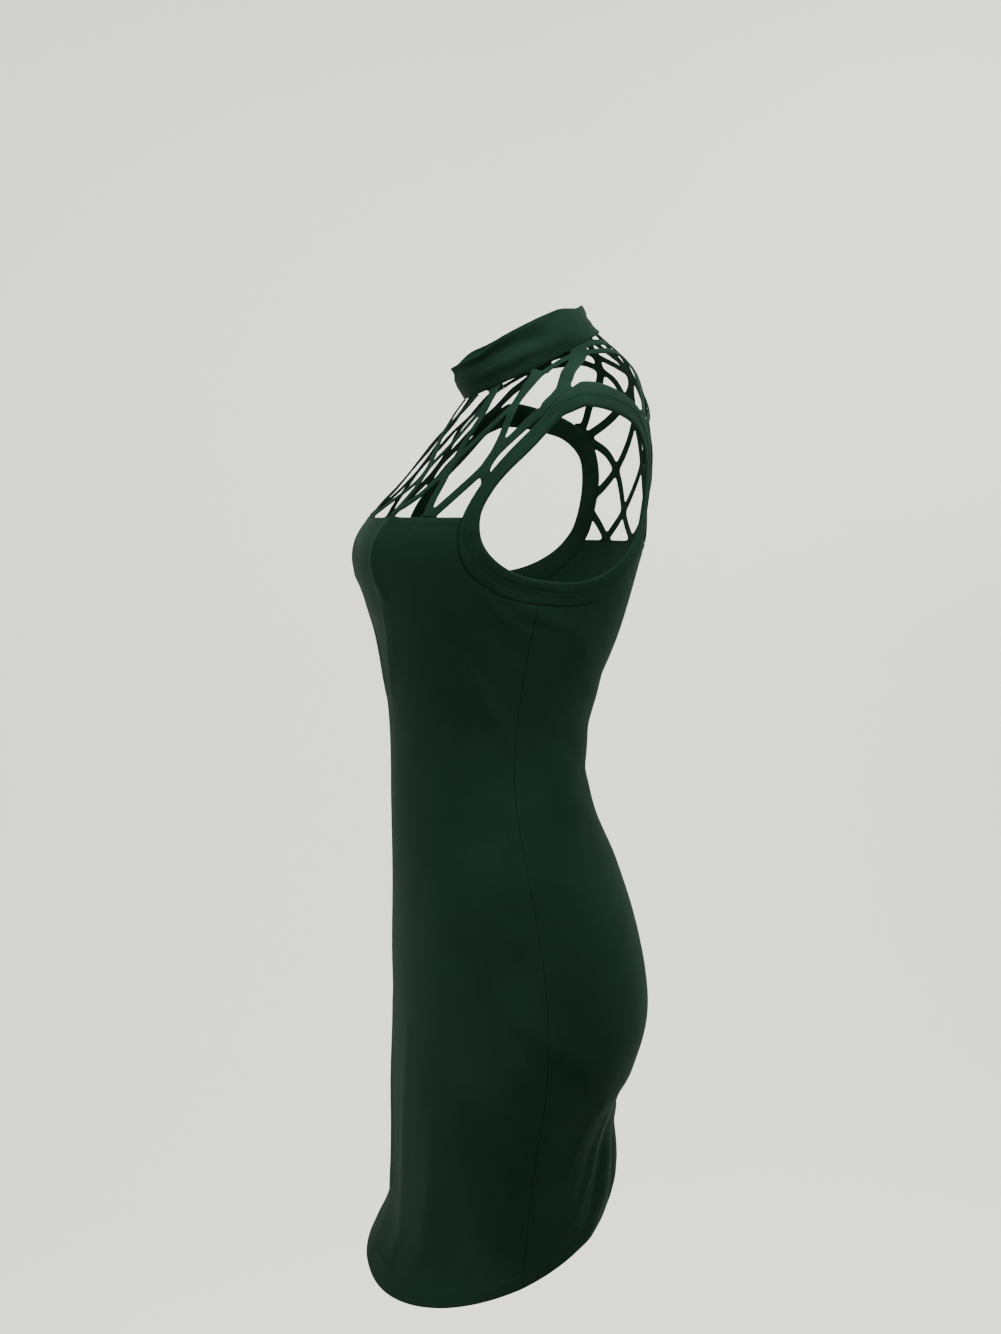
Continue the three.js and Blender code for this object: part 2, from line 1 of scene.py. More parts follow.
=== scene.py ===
"""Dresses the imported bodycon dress: cloth with its folds, turned edges, stitching and knit.

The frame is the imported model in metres. +Z is up, the dress faces -Y and its left is +X. Sizes
here are in millimetres, as a pattern maker writes them, and become metres where a mesh is made.
A place on the dress is an angle round it, 0 at the middle of the front and 90 at the left side,
and a level, which is its height except where the rings of the dress tilt.
"""
from __future__ import annotations

import logging
import math
from collections.abc import Callable, Iterable, Sequence
from dataclasses import dataclass, field, fields
from enum import Enum
from functools import lru_cache

import bpy
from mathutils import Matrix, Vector, kdtree, noise


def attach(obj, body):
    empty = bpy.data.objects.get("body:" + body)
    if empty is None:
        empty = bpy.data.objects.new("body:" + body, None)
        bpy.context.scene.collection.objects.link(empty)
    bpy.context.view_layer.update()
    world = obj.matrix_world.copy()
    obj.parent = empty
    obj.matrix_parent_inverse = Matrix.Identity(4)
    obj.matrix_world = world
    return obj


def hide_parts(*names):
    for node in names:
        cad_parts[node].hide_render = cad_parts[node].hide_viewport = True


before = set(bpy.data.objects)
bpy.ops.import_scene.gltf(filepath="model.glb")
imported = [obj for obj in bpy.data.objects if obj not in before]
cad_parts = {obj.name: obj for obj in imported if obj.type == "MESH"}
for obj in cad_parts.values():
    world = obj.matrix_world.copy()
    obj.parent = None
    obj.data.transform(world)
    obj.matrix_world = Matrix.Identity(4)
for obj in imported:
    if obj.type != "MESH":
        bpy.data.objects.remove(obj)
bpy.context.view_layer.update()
LOG = logging.getLogger("bodycon dress")

MM = 0.001  # one millimetre in metres

# Driving dimensions
CLOTH = 1.3  # the wall of the body and of the straps
SEAM_GAP = 0.1  # between pieces that are sewn together
NECK_GAP = 0.15  # in levels, between a yoke and the collar
BUST_EDGE = -106.0  # level of the straight top edge of the front
BACK_EDGE = -128.0  # level of the straight top edge of the back
HEM = -800.0  # level of the hem, which swings up towards the back
NECK = 0.0  # level of the seam between yoke and collar
SIDE_SEAM = 90.0  # degrees round from the middle of the front
SHOULDER_SEAM = 84.0  # degrees round, where the front yoke meets the back yoke
STRAP_WIDTH = 8.5  # the crossing straps of the yoke
FINE_STRAP_WIDTH = 7.0  # the straps of the yoke near the middle of the front
BROAD_STRAP_WIDTH = 9.5  # the strap that runs along the armhole band
SHOULDER_STRAP_WIDTH = 14.0  # the strap from the band over the shoulder seam to the collar
EDGE_LIP = 1.6  # how far in from an edge the cloth begins to roll
EDGE_ROLL = 0.8  # how deep it rolls
TURNING_RISE = 0.3  # how far a doubled turning stands up
TURNING_SOFT_BEFORE = 1.2  # how soft the step at its end is, towards the edge
TURNING_SOFT_AFTER = 1.6  # and away from it
STITCH_DEPTH = 0.28  # how deep a line of stitches pulls the cloth in
STITCH_REACH = 1.1  # how wide that groove is
WAVE_HEIGHT = 0.22  # the faint unevenness of all the cloth
WAVE_LENGTH = 42.0

# How angles count, and how finely the body is followed
BODY_MM_PER_DEGREE = 2.5  # along and across a fold of the body
COLLAR_MM_PER_DEGREE = 1.05  # along and across a fold of the collar
FLAT_MM_PER_DEGREE = 1.3  # on the flat cut of the yoke
SLOPE_STEP = 0.5  # degrees or levels, for the body's slope
STEP_LENGTH = 4.0  # the longest step over the body
STEP_TRIES = 3  # corrections of each step
OUTLINE_STEPS = 720  # of the line beside an armhole band

Spot = tuple[float, float]
Colour = tuple[float, float, float, float]


class Half(Enum):
    """Which half of the dress a piece belongs to, by the angle of its middle."""

    FRONT = 0.0
    BACK = 180.0

    @property
    def sideways(self) -> float:
        """1 where angles grow from the middle to the left side, and -1 where they shrink."""
        return 1.0 if self is Half.FRONT else -1.0


class Side(Enum):
    """The wearer's left or right, by the sign of X."""

    LEFT = 1.0
    RIGHT = -1.0


@dataclass(frozen=True)
class Section:
    """Where one ring of the dress passes the front, the side and the back."""

    level: float
    front_y: float
    front_z: float
    side_x: float
    side_y: float
    side_z: float
    back_y: float
    back_z: float
    square: float


SECTIONS = (
    Section(-800, -174, -793, 148, -62, -756, 44, -712, 2.15),
    Section(-760, -154, -756, 149, -60, -724, 53, -688, 2.15),
    Section(-720, -149.5, -720, 152, -58, -691, 51, -660, 2.15),
    Section(-680, -148, -680, 157, -56, -657, 48, -636, 2.15),
    Section(-640, -148, -640, 163, -52, -624, 54.5, -612, 2.15),
    Section(-600, -147, -600, 168, -48, -592, 66.5, -588, 2.15),
    Section(-555, -146, -555, 170, -46, -552, 78.5, -550, 2.15),
    Section(-510, -147, -510, 168, -46, -510, 77, -510, 2.15),
    Section(-460, -146.5, -460, 160, -50, -460, 66.5, -460, 2.15),
    Section(-410, -147, -410, 146, -56, -410, 50.5, -410, 2.15),
    Section(-365, -148, -365, 132, -62, -365, 31.5, -365, 2.15),
    Section(-325, -148.5, -325, 123, -64, -325, 24, -325, 2.15),
    Section(-285, -150, -285, 121, -62, -285, 28.5, -285, 2.15),
    Section(-245, -154.5, -245, 127, -58, -245, 38, -245, 2.2),
    Section(-210, -160, -210, 136, -54, -210, 50, -210, 2.3),
    Section(-180, -170.5, -180, 144, -50, -180, 58, -180, 2.4),
    Section(-150, -180, -150, 150, -47, -150, 66, -150, 2.4),
    Section(-128, -178, -128, 154, -45, -128, 73, -128, 2.3),
    Section(-106, -166.5, -106, 157, -42, -106, 76, -106, 2.2),
    Section(-80, -142, -79, 161, -30, -62, 82, -64, 1.95),
    Section(-54, -120, -52, 158, -14, -20, 83, -20, 1.7),
    Section(-41, -109.5, -39, 149, -14, -2, 77.5, 4, 1.68),
    Section(-28, -99, -26, 121, -12, 11, 69, 25, 1.75),
    Section(0, -80, -1, 66, -27, 24, 36, 57, 2.3),
)
COLUMNS = tuple(column.name for column in fields(Section))


@dataclass(frozen=True)
class Fold:
    """A ridge or, with a negative rise, a trough between two spots, bowed sideways."""

    angle: float
    level: float
    to_angle: float
    to_level: float
    width: float
    rise: float
    bow: float = 0.0


# The folds that the solids have too.
LARGE_FOLDS = (
    Fold(24, -104, 22, -165, 11, 2.2),
    Fold(25, -168, 10, -250, 14, 1.6),
    Fold(80, -170, 96, -190, 6, 1.8),
    Fold(56, -180, 86, -290, 15, 1.8),
    Fold(128, -262, 170, -300, 13, -2),
    Fold(138, -628, 172, -668, 15, -2.5),
    Fold(118, -620, 104, -760, 14, 2.2),
    Fold(142, -668, 126, -790, 13, 2.2),
    Fold(58, -480, 112, -572, 20, 1.4),
)

# The creases between them, too fine for the solids.
CREASES = (
    Fold(24.5, -105, 21.5, -160, 4.5, 2.2, -5),
    Fold(22, -158, 24, -178, 4, 1.2, 2),
    Fold(21, -172, 8, -262, 6, 1.2, -4),
    Fold(43, -105, 40, -128, 4, 0.9),
    Fold(73, -170, 92, -205, 5, 1.4, -3),
    Fold(70, -182, 88, -222, 7, -1.2, -3),
    Fold(84, -182, 100, -196, 4.5, 1.4, -1),
    Fold(98, -190, 118, -216, 6, 1.2, 2),
    Fold(60, -205, 80, -262, 7, -1.5, 4),
    Fold(52, -196, 70, -246, 6, 1, 2),
    Fold(74, -262, 92, -318, 9, 1.2, 4),
    Fold(40, -300, 66, -330, 8, 0.8, 3),
    Fold(104, -286, 140, -322, 8, -1.2, 3),
    Fold(150, -240, 186, -262, 9, -1.4, -3),
    Fold(146, -320, 184, -336, 9, -1.4, -3),
    Fold(120, -350, 152, -372, 9, 0.9, 3),
    Fold(64, -430, 92, -478, 12, 0.9, 4),
    Fold(76, -516, 120, -590, 10, 1.2, -4),
    Fold(60, -540, 104, -640, 10, -1, -5),
    Fold(50, -600, 92, -672, 12, 1, -4),
    Fold(100, -610, 128, -632, 8, 1, 3),
    Fold(112, -636, 96, -742, 6, 1.4, 4),
    Fold(128, -648, 112, -752, 6, 1.7, 4),
    Fold(134, -664, 118, -776, 7, -1.8, 3),
    Fold(150, -660, 140, -770, 7, 1.7, 2),
    Fold(160, -664, 154, -782, 8, -1.5, 2),
    Fold(172, -654, 168, -770, 9, 1.4, 1),
    Fold(36, -640, 30, -778, 14, 1.2, 4),
    Fold(14, -560, 12, -770, 10, 1.4, -3),
    Fold(2, -600, 0, -786, 12, -0.9, 2),
    Fold(66, -700, 58, -788, 12, 1, 3),
    Fold(84, -690, 78, -772, 10, -0.9, 2),
)

# The collar's creases, by angle and by height, which here runs from 0 at its foot to 55 at its
# top.
COLLAR_FOLDS = (
    Fold(10, 45, 90, 37, 6.5, -3.4, 2),
    Fold(24, 22, 104, 20, 7, 1.5, 3),
    Fold(30, 30, 74, 31, 3, -0.6, 1),
    Fold(44, 50, 104, 49, 4, 0.9, 1),
    Fold(60, 6, 86, 16, 4, -0.7, 2),
    Fold(112, 16, 124, 46, 10, 1.4, 2),
    Fold(98, 30, 112, 46, 4, -0.7, 2),
    Fold(132, 12, 150, 40, 5, -0.7, 2),
    Fold(150, 30, 186, 27, 5, -0.8, 3),
)


def signed_power(value: float, power: float) -> float:
    """Raise the size of a value to a power and keep its sign."""
    return math.copysign(abs(value) ** power, value)


def clamp(value: float, low: float, high: float) -> float:
    """Keep a value between two limits."""
    return min(max(value, low), high)


def smoothstep(value: float, low: float, high: float) -> float:
    """A soft step from 0 at the low limit to 1 at the high one."""
    t = clamp((value - low) / (high - low), 0, 1)
    return t * t * (3 - 2 * t)


def smooth_max(a: float, b: float, reach: float) -> float:
    """The larger of two values, rounded where they are closer than the reach."""
    near = max(reach - abs(a - b), 0) / reach
    return max(a, b) + near * near * reach / 4


def value_between(values: Sequence[float], at: float) -> float:
    """A value at a place along a list.

    Args:
        values: The list.
        at: The place, between two items where it isn't whole.

    Returns:
        The value there.
    """
    index = math.floor(at)
    here, following = values[index], values[min(index + 1, len(values) - 1)]
    return here + (following - here) * (at - index)


def is_whole(spot: Spot) -> bool:
    """Whether a place on a grid is one of its points."""
    return float(spot[0]).is_integer() and float(spot[1]).is_integer()


def blend(a: Spot, b: Spot, t: float) -> Spot:
    """A spot between two others."""
    return a[0] + (b[0] - a[0]) * t, a[1] + (b[1] - a[1]) * t


class FoldField:
    """Folds that lift the cloth off its smooth form."""

    REACH = 2.5  # how far a fold is felt, in its own widths
    END_SHARE = 0.12  # the share of its length, at each end, where its height stays even

    def __init__(self, folds: Iterable[Fold], mm_per_degree: float, mirrored: bool) -> None:
        """Work out each fold's line once.

        Args:
            folds: The folds.
            mm_per_degree: How the angle counts along and across a fold.
            mirrored: Whether both sides have the folds of the left one.
        """
        self.mm_per_degree = mm_per_degree
        self.mirrored = mirrored
        self.lines = []
        for fold in folds:
            turn = (fold.to_angle - fold.angle) * mm_per_degree
            climb = fold.to_level - fold.level
            self.lines.append((fold, turn, climb, math.hypot(turn, climb)))

    def rise_at(self, angle: float, level: float) -> float:
        """How far the folds lift the cloth, in millimetres.

        Args:
            angle: The angle in degrees.
            level: The level in millimetres.

        Returns:
            The lift, which is negative in a trough.
        """
        turned = (angle + 180) % 360 - 180
        if self.mirrored:
            turned = abs(turned)
        total = 0.0
        for fold, turn, climb, length in self.lines:
            here_x = (turned - fold.angle) * self.mm_per_degree
            here_y = level - fold.level
            share = (here_x * turn + here_y * climb) / (length * length)
            past = max(0.0, -share, share - 1) * length / fold.width
            if past > self.REACH:
                continue
            off_line = (here_x * climb - here_y * turn) / length
            off_line += fold.bow * math.sin(math.pi * clamp(share, 0, 1))
            aside = off_line / fold.width
            if abs(aside) > self.REACH:
                continue
            inner = clamp(share, self.END_SHARE, 1 - self.END_SHARE)
            fade = math.sin(math.pi * inner) ** 0.5
            total += fold.rise * fade * math.exp(-aside * aside - past * past)
        return total


def slope_at(index: int, column: str) -> float:
    """How fast a column of the sections changes with the level.

    Args:
        index: The row.
        column: The column's name.

    Returns:
        The change for one level.
    """
    below = SECTIONS[max(index - 1, 0)]
    above = SECTIONS[min(index + 1, len(SECTIONS) - 1)]
    return (getattr(above, column) - getattr(below, column)) / (above.level - below.level)


SLOPES = [{column: slope_at(i, column) for column in COLUMNS} for i in range(len(SECTIONS))]


@lru_cache(maxsize=100000)
def section_at(level: float) -> Section:
    """The section at any level, on a smooth curve through the rows.

    Args:
        level: The level in millimetres.

    Returns:
        The section.
    """
    index = 0
    while index < len(SECTIONS) - 2 and SECTIONS[index + 1].level <= level:
        index += 1
    low, high = SECTIONS[index], SECTIONS[index + 1]
    span = high.level - low.level
    t = (level - low.level) / span
    values = []
    for column in COLUMNS:
        start = getattr(low, column)
        climb = getattr(high, column) - start
        leave = SLOPES[index][column] * span
        arrive = SLOPES[index + 1][column] * span
        bend = 3 * climb - 2 * leave - arrive
        values.append(start + leave * t + bend * t**2 + (leave + arrive - 2 * climb) * t**3)
    return Section(*values)


def ring_place(section: Section, angle: float) -> Vector:
    """A place on one ring of the dress.

    Args:
        section: The section that the ring passes.
        angle: The angle in degrees.

    Returns:
        The place in millimetres.
    """
    turn = math.radians(angle)
    power = 2 / section.square
    aside = signed_power(math.sin(turn), power)
    ahead = abs(math.cos(turn)) ** power
    in_front = math.cos(turn) > 0
    end_y = section.front_y if in_front else section.back_y
    end_z = section.front_z if in_front else section.back_z
    return Vector((
        section.side_x * aside,
        section.side_y + (end_y - section.side_y) * ahead,
        section.side_z + (end_z - section.side_z) * ahead,
    ))


def body_place(angle: float, level: float) -> Vector:
    """A place on the smooth body in millimetres, without folds."""
    return ring_place(section_at(level), angle)


def body_tangents(angle: float, level: float) -> tuple[Vector, Vector]:
    """How fast a place on the smooth body moves.

    Args:
        angle: The angle in degrees.
        level: The level in millimetres.

    Returns:
        How it moves for one degree round, and for one level up.
    """
    around = body_place(angle + SLOPE_STEP, level) - body_place(angle - SLOPE_STEP, level)
    upward = body_place(angle, level + SLOPE_STEP) - body_place(angle, level - SLOPE_STEP)
    return around / (2 * SLOPE_STEP), upward / (2 * SLOPE_STEP)


def body_normal(angle: float, level: float) -> Vector:
    """The outward direction of the smooth body."""
    around, upward = body_tangents(angle, level)
    return around.cross(upward).normalized()


BODY_FOLDS = FoldField(LARGE_FOLDS + CREASES, BODY_MM_PER_DEGREE, mirrored=True)


def cloth_frame(angle: float, level: float) -> tuple[Vector, Vector]:
    """The cloth's outer face at a spot.

    Args:
        angle: The angle in degrees.
        level: The level in millimetres.

    Returns:
        The place in millimetres, with the folds, and the outward direction.
    """
    place = body_place(angle, level)
    normal = body_normal(angle, level)
    lift = BODY_FOLDS.rise_at(angle, level) + WAVE_HEIGHT * noise.noise(place / WAVE_LENGTH)
    return place + normal * lift, normal


def nearest_spot(start: Spot, target: Vector) -> Spot:
    """The spot of the body that lies nearest to a target.

    Args:
        start: A spot close by, from which to search.
        target: The target in space, in millimetres.

    Returns:
        The spot found.
    """
    angle, level = start
    for _ in range(STEP_TRIES):
        around, upward = body_tangents(angle, level)
        left = target - body_place(angle, level)
        a, b, c = around.dot(around), around.dot(upward), upward.dot(upward)
        p, q = around.dot(left), upward.dot(left)
        size = a * c - b * b
        angle += (c * p - b * q) / size
        level += (a * q - b * p) / size
    return angle, level


def spot_across(spot: Spot, heading: Vector, distance: float) -> Spot:
    """The spot that lies a distance away over the body in the direction of a heading.

    Args:
        spot: Where to start.
        heading: The direction in space.
        distance: How far, in millimetres over the body.

    Returns:
        The spot reached.
    """
    steps = max(1, math.ceil(distance / STEP_LENGTH))
    for _ in range(steps):
        normal = body_normal(*spot)
        flat = (heading - normal * heading.dot(normal)).normalized()
        spot = nearest_spot(spot, body_place(*spot) + flat * (distance / steps))
    return spot


class SmoothLine:
    """A smooth curve through spots, drawn in the plane of angle and level."""

    def __init__(self, spots: Sequence[Spot], closed: bool) -> None:
        """Keep the spots, with the plane's own scale.

        Args:
            spots: The spots that the curve passes.
            closed: Whether it joins its own start.
        """
        self.points = [Vector((angle * FLAT_MM_PER_DEGREE, level)) for angle, level in spots]
        self.closed = closed
        self.parts = len(spots) if closed else len(spots) - 1

    def _control(self, index: int) -> Vector:
        """A control point, carried on past the ends of an open line.

        Args:
            index: Its number, which may lie past either end.

        Returns:
            The point, on the plane's own scale.
        """
        count = len(self.points)
        if self.closed:
            return self.points[index % count]
        if index < 0:
            return self.points[0] * 2 - self.points[1]
        if index >= count:
            return self.points[-1] * 2 - self.points[-2]
        return self.points[index]

    def at(self, t: float) -> Spot:
        """The spot at a share of the line.

        Args:
            t: The share, counted evenly from control point to control point.

        Returns:
            The spot.
        """
        along = t * self.parts
        index = math.floor(along) if self.closed else int(clamp(math.floor(along), 0, self.parts - 1))
        weight = along - index
        p0, p1, p2, p3 = (self._control(index + k) for k in (-1, 0, 1, 2))
        d0, d1, d2 = (max((b - a).length, 1e-4) ** 0.5 for a, b in ((p0, p1), (p1, p2), (p2, p3)))
        leave = ((p1 - p0) / d0 - (p2 - p0) / (d0 + d1) + (p2 - p1) / d1) * d1
        arrive = ((p2 - p1) / d1 - (p3 - p1) / (d1 + d2) + (p3 - p2) / d2) * d1
        curve = (p2 - p1) * 3 - leave * 2 - arrive
        place = p1 + leave * weight + curve * weight**2 + (leave + arrive - (p2 - p1) * 2) * weight**3
        return place.x / FLAT_MM_PER_DEGREE, place.y

    def heading_across(self, t: float) -> Vector:
        """The direction over the body at right angles to the line.

        Args:
            t: The share of the line.

        Returns:
            The direction in space, to the right of the line's run.
        """
        step = 0.0005
        way = body_place(*self.at(t + step)) - body_place(*self.at(t - step))
        return way.cross(body_normal(*self.at(t))).normalized()


@dataclass(frozen=True)
class BandRow:
    """One station of an armhole band: its spot on the armhole and the facing one on its seam."""

    angle: float
    level: float
    far_angle: float
    far_level: float


BAND_ROWS = (
    BandRow(89, -52.2, 87, -36),
    BandRow(82.6, -52.8, 79, -39.5),
    BandRow(76.6, -54.4, 71.5, -45),
    BandRow(70, -70, 61.8, -62),
    BandRow(64.9, -84.8, 57.5, -83),
    BandRow(64.7, -98.6, 57.9, -99),
    BandRow(67.2, -112, 59.7, -114),
    BandRow(71.1, -128.5, 62.8, -134),
    BandRow(77.9, -143.5, 70, -156),
    BandRow(85, -153.2, 80, -170.5),
    BandRow(93, -158.5, 92, -178),
    BandRow(104, -159, 106, -179),
    BandRow(116, -152.5, 122, -171),
    BandRow(128, -139, 137, -152.5),
    BandRow(136, -120, 145.5, -127),
    BandRow(139.5, -100, 149, -101),
    BandRow(139.5, -85, 148, -79),
    BandRow(136.8, -71.6, 141.5, -61),
    BandRow(128, -61.2, 130, -50),
    BandRow(116, -56, 115.5, -41.8),
    BandRow(103, -53, 101.5, -36.6),
    BandRow(95.5, -52.3, 94, -35.5),
)
ARMHOLE_LINE = SmoothLine([(row.angle, row.level) for row in BAND_ROWS], closed=True)
BAND_FAR_LINE = SmoothLine([(row.far_angle, row.far_level) for row in BAND_ROWS], closed=True)


def beside_band(t: float) -> Spot:
    """A spot just past the left band's far side, where the neighbouring cloth begins."""
    return spot_across(BAND_FAR_LINE.at(t), BAND_FAR_LINE.heading_across(t), SEAM_GAP)


BAND_OUTLINE = [beside_band(i / OUTLINE_STEPS) for i in range(OUTLINE_STEPS)]


def stretch_where(loop: Sequence[Spot], measure: Callable[[Spot], float]) -> list[Spot]:
    """The stretch of a closed loop of spots where a measure is above zero.

    Args:
        loop: The spots of the loop.
        measure: The measure at a spot.

    Returns:
        The spots of the stretch, with its two ends worked out.
    """
    values = [measure(spot) for spot in loop]
    count = len(loop)
    first = next(i for i in range(count) if values[i] < 0 <= values[(i + 1) % count])
    stretch = []
    for k in range(count):
        here, following = (first + k) % count, (first + k + 1) % count
        before, after = values[here], values[following]
        if before >= 0:
            stretch.append(loop[here])
        if (before >= 0) != (after >= 0):
            stretch.append(blend(loop[here], loop[following], before / (before - after)))
        if after < 0 <= before:
            break
    return stretch


class SpotPath:
    """A path of spots, asked for by its share of length."""

    def __init__(self, spots: Sequence[Spot]) -> None:
        """Measure the path over the body.

        Args:
            spots: The path's spots.
        """
        self.spots = list(spots)
        self.sums = [0.0]
        for a, b in zip(self.spots, self.spots[1:]):
            self.sums.append(self.sums[-1] + (body_place(*b) - body_place(*a)).length)

    @property
    def length(self) -> float:
        """The whole length in millimetres."""
        return self.sums[-1]

    def at(self, share: float) -> Spot:
        """The spot at a share of the path's length.

        Args:
            share: The share.

        Returns:
            The spot.
        """
        wanted = clamp(share, 0, 1) * self.length
        last = len(self.sums) - 1
        index = next((i for i in range(1, last + 1) if self.sums[i] >= wanted), last)
        span = max(self.sums[index] - self.sums[index - 1], 1e-6)
        return blend(self.spots[index - 1], self.spots[index], (wanted - self.sums[index - 1]) / span)


def spread_shares(
    count: int, length: float, near_start: Sequence[float], near_end: Sequence[float]
) -> list[float]:
    """Shares of a length, evenly spread but closer together near its ends.

    Args:
        count: How many even parts.
        length: The length in millimetres.
        near_start: Further places near the start, as distances from it.
        near_end: Further places near the end, as distances from it.

    Returns:
        The shares in order, from 0 to 1.
    """
    margin = 1.5
    first = max(near_start, default=0) + margin
    last = length - max(near_end, default=0) - margin
    even = [i * length / count for i in range(1, count)]
    places = {0.0, length, *near_start, *(length - d for d in near_end)}
    places.update(d for d in even if first < d < last)
    return [d / length for d in sorted(places)]


def turned_edge(distance: float, turning: float) -> float:
    """How the cloth lies near an edge, in millimetres outwards.

    Args:
        distance: From the edge, in millimetres.
        turning: The width of the turning, or 0 for a plain seam edge.

    Returns:
        How far out the face lies there.
    """
    roll = -EDGE_ROLL * (1 - distance / EDGE_LIP) ** 2 if distance < EDGE_LIP else 0.0
    if turning == 0:
        return roll
    past = smoothstep(distance, turning - TURNING_SOFT_BEFORE, turning + TURNING_SOFT_AFTER)
    stitched = -STITCH_DEPTH * math.exp(-(((distance - turning) / STITCH_REACH) ** 2))
    return roll + TURNING_RISE * (1 - past) + stitched


# A wave texture repeats once in this many metres, divided by its scale.
WAVE_PERIOD = 0.314

# The two colour sockets and the colour result of a Mix node, whose names other sockets share.
MIX_FIRST, MIX_SECOND, MIX_RESULT = 6, 7, 2


@dataclass(frozen=True)
class Finish:
    """A satiny stretch knit, or its thread, seen through its shader. The colours are linear."""

    name: str
    deep: Colour
    pale: Colour
    roughness: float
    wale: float  # from one wale of the knit to the next, in millimetres
    relief: float  # how strongly the knit is raised
    course_share: float = 0.8  # from one course to the next, as a share of the wale
    relief_depth: float = 0.0003  # in metres
    gloss: float = 0.01
    gloss_tint: Colour = (0.45, 0.85, 0.62, 1)
    sheen: float = 0.02
    sheen_roughness: float = 0.42
    sheen_tint: Colour = (0.3, 0.8, 0.5, 1)
    cloud_scale: float = 9  # of the soft clouds in the dye
    deep_until: float = 0.3  # the cloud's value up to which the colour is deep
    pale_from: float = 0.72  # and from which it is pale
    speck_scale: float = 900  # of the fine specks
    speck_share: float = 0.28  # how much the specks darken the dye

    def material(self) -> bpy.types.Material:
        """Make the material once, and hand out the same one after that.

        Returns:
            The material.
        """
        known = bpy.data.materials.get(self.name)
        if known:
            return known
        made = bpy.data.materials.new(self.name)
        made.use_nodes = True
        shader = made.node_tree.nodes["Principled BSDF"]
        shader.inputs["Roughness"].default_value = self.roughness
        shader.inputs["Specular IOR Level"].default_value = self.gloss
        shader.inputs["Specular Tint"].default_value = self.gloss_tint
        shader.inputs["Sheen Weight"].default_value = self.sheen
        shader.inputs["Sheen Roughness"].default_value = self.sheen_roughness
        shader.inputs["Sheen Tint"].default_value = self.sheen_tint
        self._colour(made.node_tree, shader)
        self._relief(made.node_tree, shader)
        return made

    def _colour(self, tree: bpy.types.NodeTree, shader: bpy.types.Node) -> None:
        """Colour the cloth with soft clouds of dye and fine specks.

        Args:
            tree: The material's nodes.
            shader: Its shader.
        """
        where = tree.nodes.new("ShaderNodeTexCoord")
        clouds = tree.nodes.new("ShaderNodeTexNoise")
        clouds.inputs["Scale"].default_value = self.cloud_scale
        clouds.inputs["Detail"].default_value = 4
        ramp = tree.nodes.new("ShaderNodeValToRGB")
        ramp.color_ramp.elements[0].position = self.deep_until
        ramp.color_ramp.elements[0].color = self.deep
        ramp.color_ramp.elements[1].position = self.pale_from
        ramp.color_ramp.elements[1].color = self.pale
        specks = tree.nodes.new("ShaderNodeTexNoise")
        specks.inputs["Scale"].default_value = self.speck_scale
        specks.inputs["Detail"].default_value = 2
        mix = tree.nodes.new("ShaderNodeMix")
        mix.data_type = "RGBA"
        mix.blend_type = "MULTIPLY"
        mix.inputs["Factor"].default_value = self.speck_share
        tree.links.new(where.outputs["Object"], clouds.inputs["Vector"])
        tree.links.new(where.outputs["Object"], specks.inputs["Vector"])
        tree.links.new(clouds.outputs["Fac"], ramp.inputs["Fac"])
        tree.links.new(ramp.outputs["Color"], mix.inputs[MIX_FIRST])
        tree.links.new(specks.outputs["Fac"], mix.inputs[MIX_SECOND])
        tree.links.new(mix.outputs[MIX_RESULT], shader.inputs["Base Color"])

    def _relief(self, tree: bpy.types.NodeTree, shader: bpy.types.Node) -> None:
        """Raise the wales and courses of the knit.

        Args:
            tree: The material's nodes.
            shader: Its shader.
        """
        where = tree.nodes.new("ShaderNodeUVMap")
        where.uv_map = "knit"
        waves = []
        for direction, spacing in (("X", self.wale), ("Y", self.wale * self.course_share)):
            wave = tree.nodes.new("ShaderNodeTexWave")
            wave.bands_direction = direction
            wave.inputs["Scale"].default_value = WAVE_PERIOD / (spacing * MM)
            wave.inputs["Distortion"].default_value = 0.5
            wave.inputs["Detail"].default_value = 1
            tree.links.new(where.outputs["UV"], wave.inputs["Vector"])
            waves.append(wave)
        knit = tree.nodes.new("ShaderNodeMath")
        knit.operation = "MULTIPLY"
        bump = tree.nodes.new("ShaderNodeBump")
        bump.inputs["Strength"].default_value = self.relief
        bump.inputs["Distance"].default_value = self.relief_depth
        tree.links.new(waves[0].outputs["Fac"], knit.inputs[0])
        tree.links.new(waves[1].outputs["Fac"], knit.inputs[1])
        tree.links.new(knit.outputs["Value"], bump.inputs["Height"])
        tree.links.new(bump.outputs["Normal"], shader.inputs["Normal"])


KNIT = Finish(
    name="forest green knit",
    deep=(0.0042, 0.0116, 0.0075, 1),
    pale=(0.0066, 0.0175, 0.0116, 1),
    roughness=0.68,
    wale=1.1,
    relief=0.35,
)
THREAD = Finish(
    name="forest green thread",
    deep=(0.0055, 0.0155, 0.0100, 1),
    pale=(0.0080, 0.0220, 0.0145, 1),
    roughness=0.6,
    wale=0.4,
    relief=0.5,
)


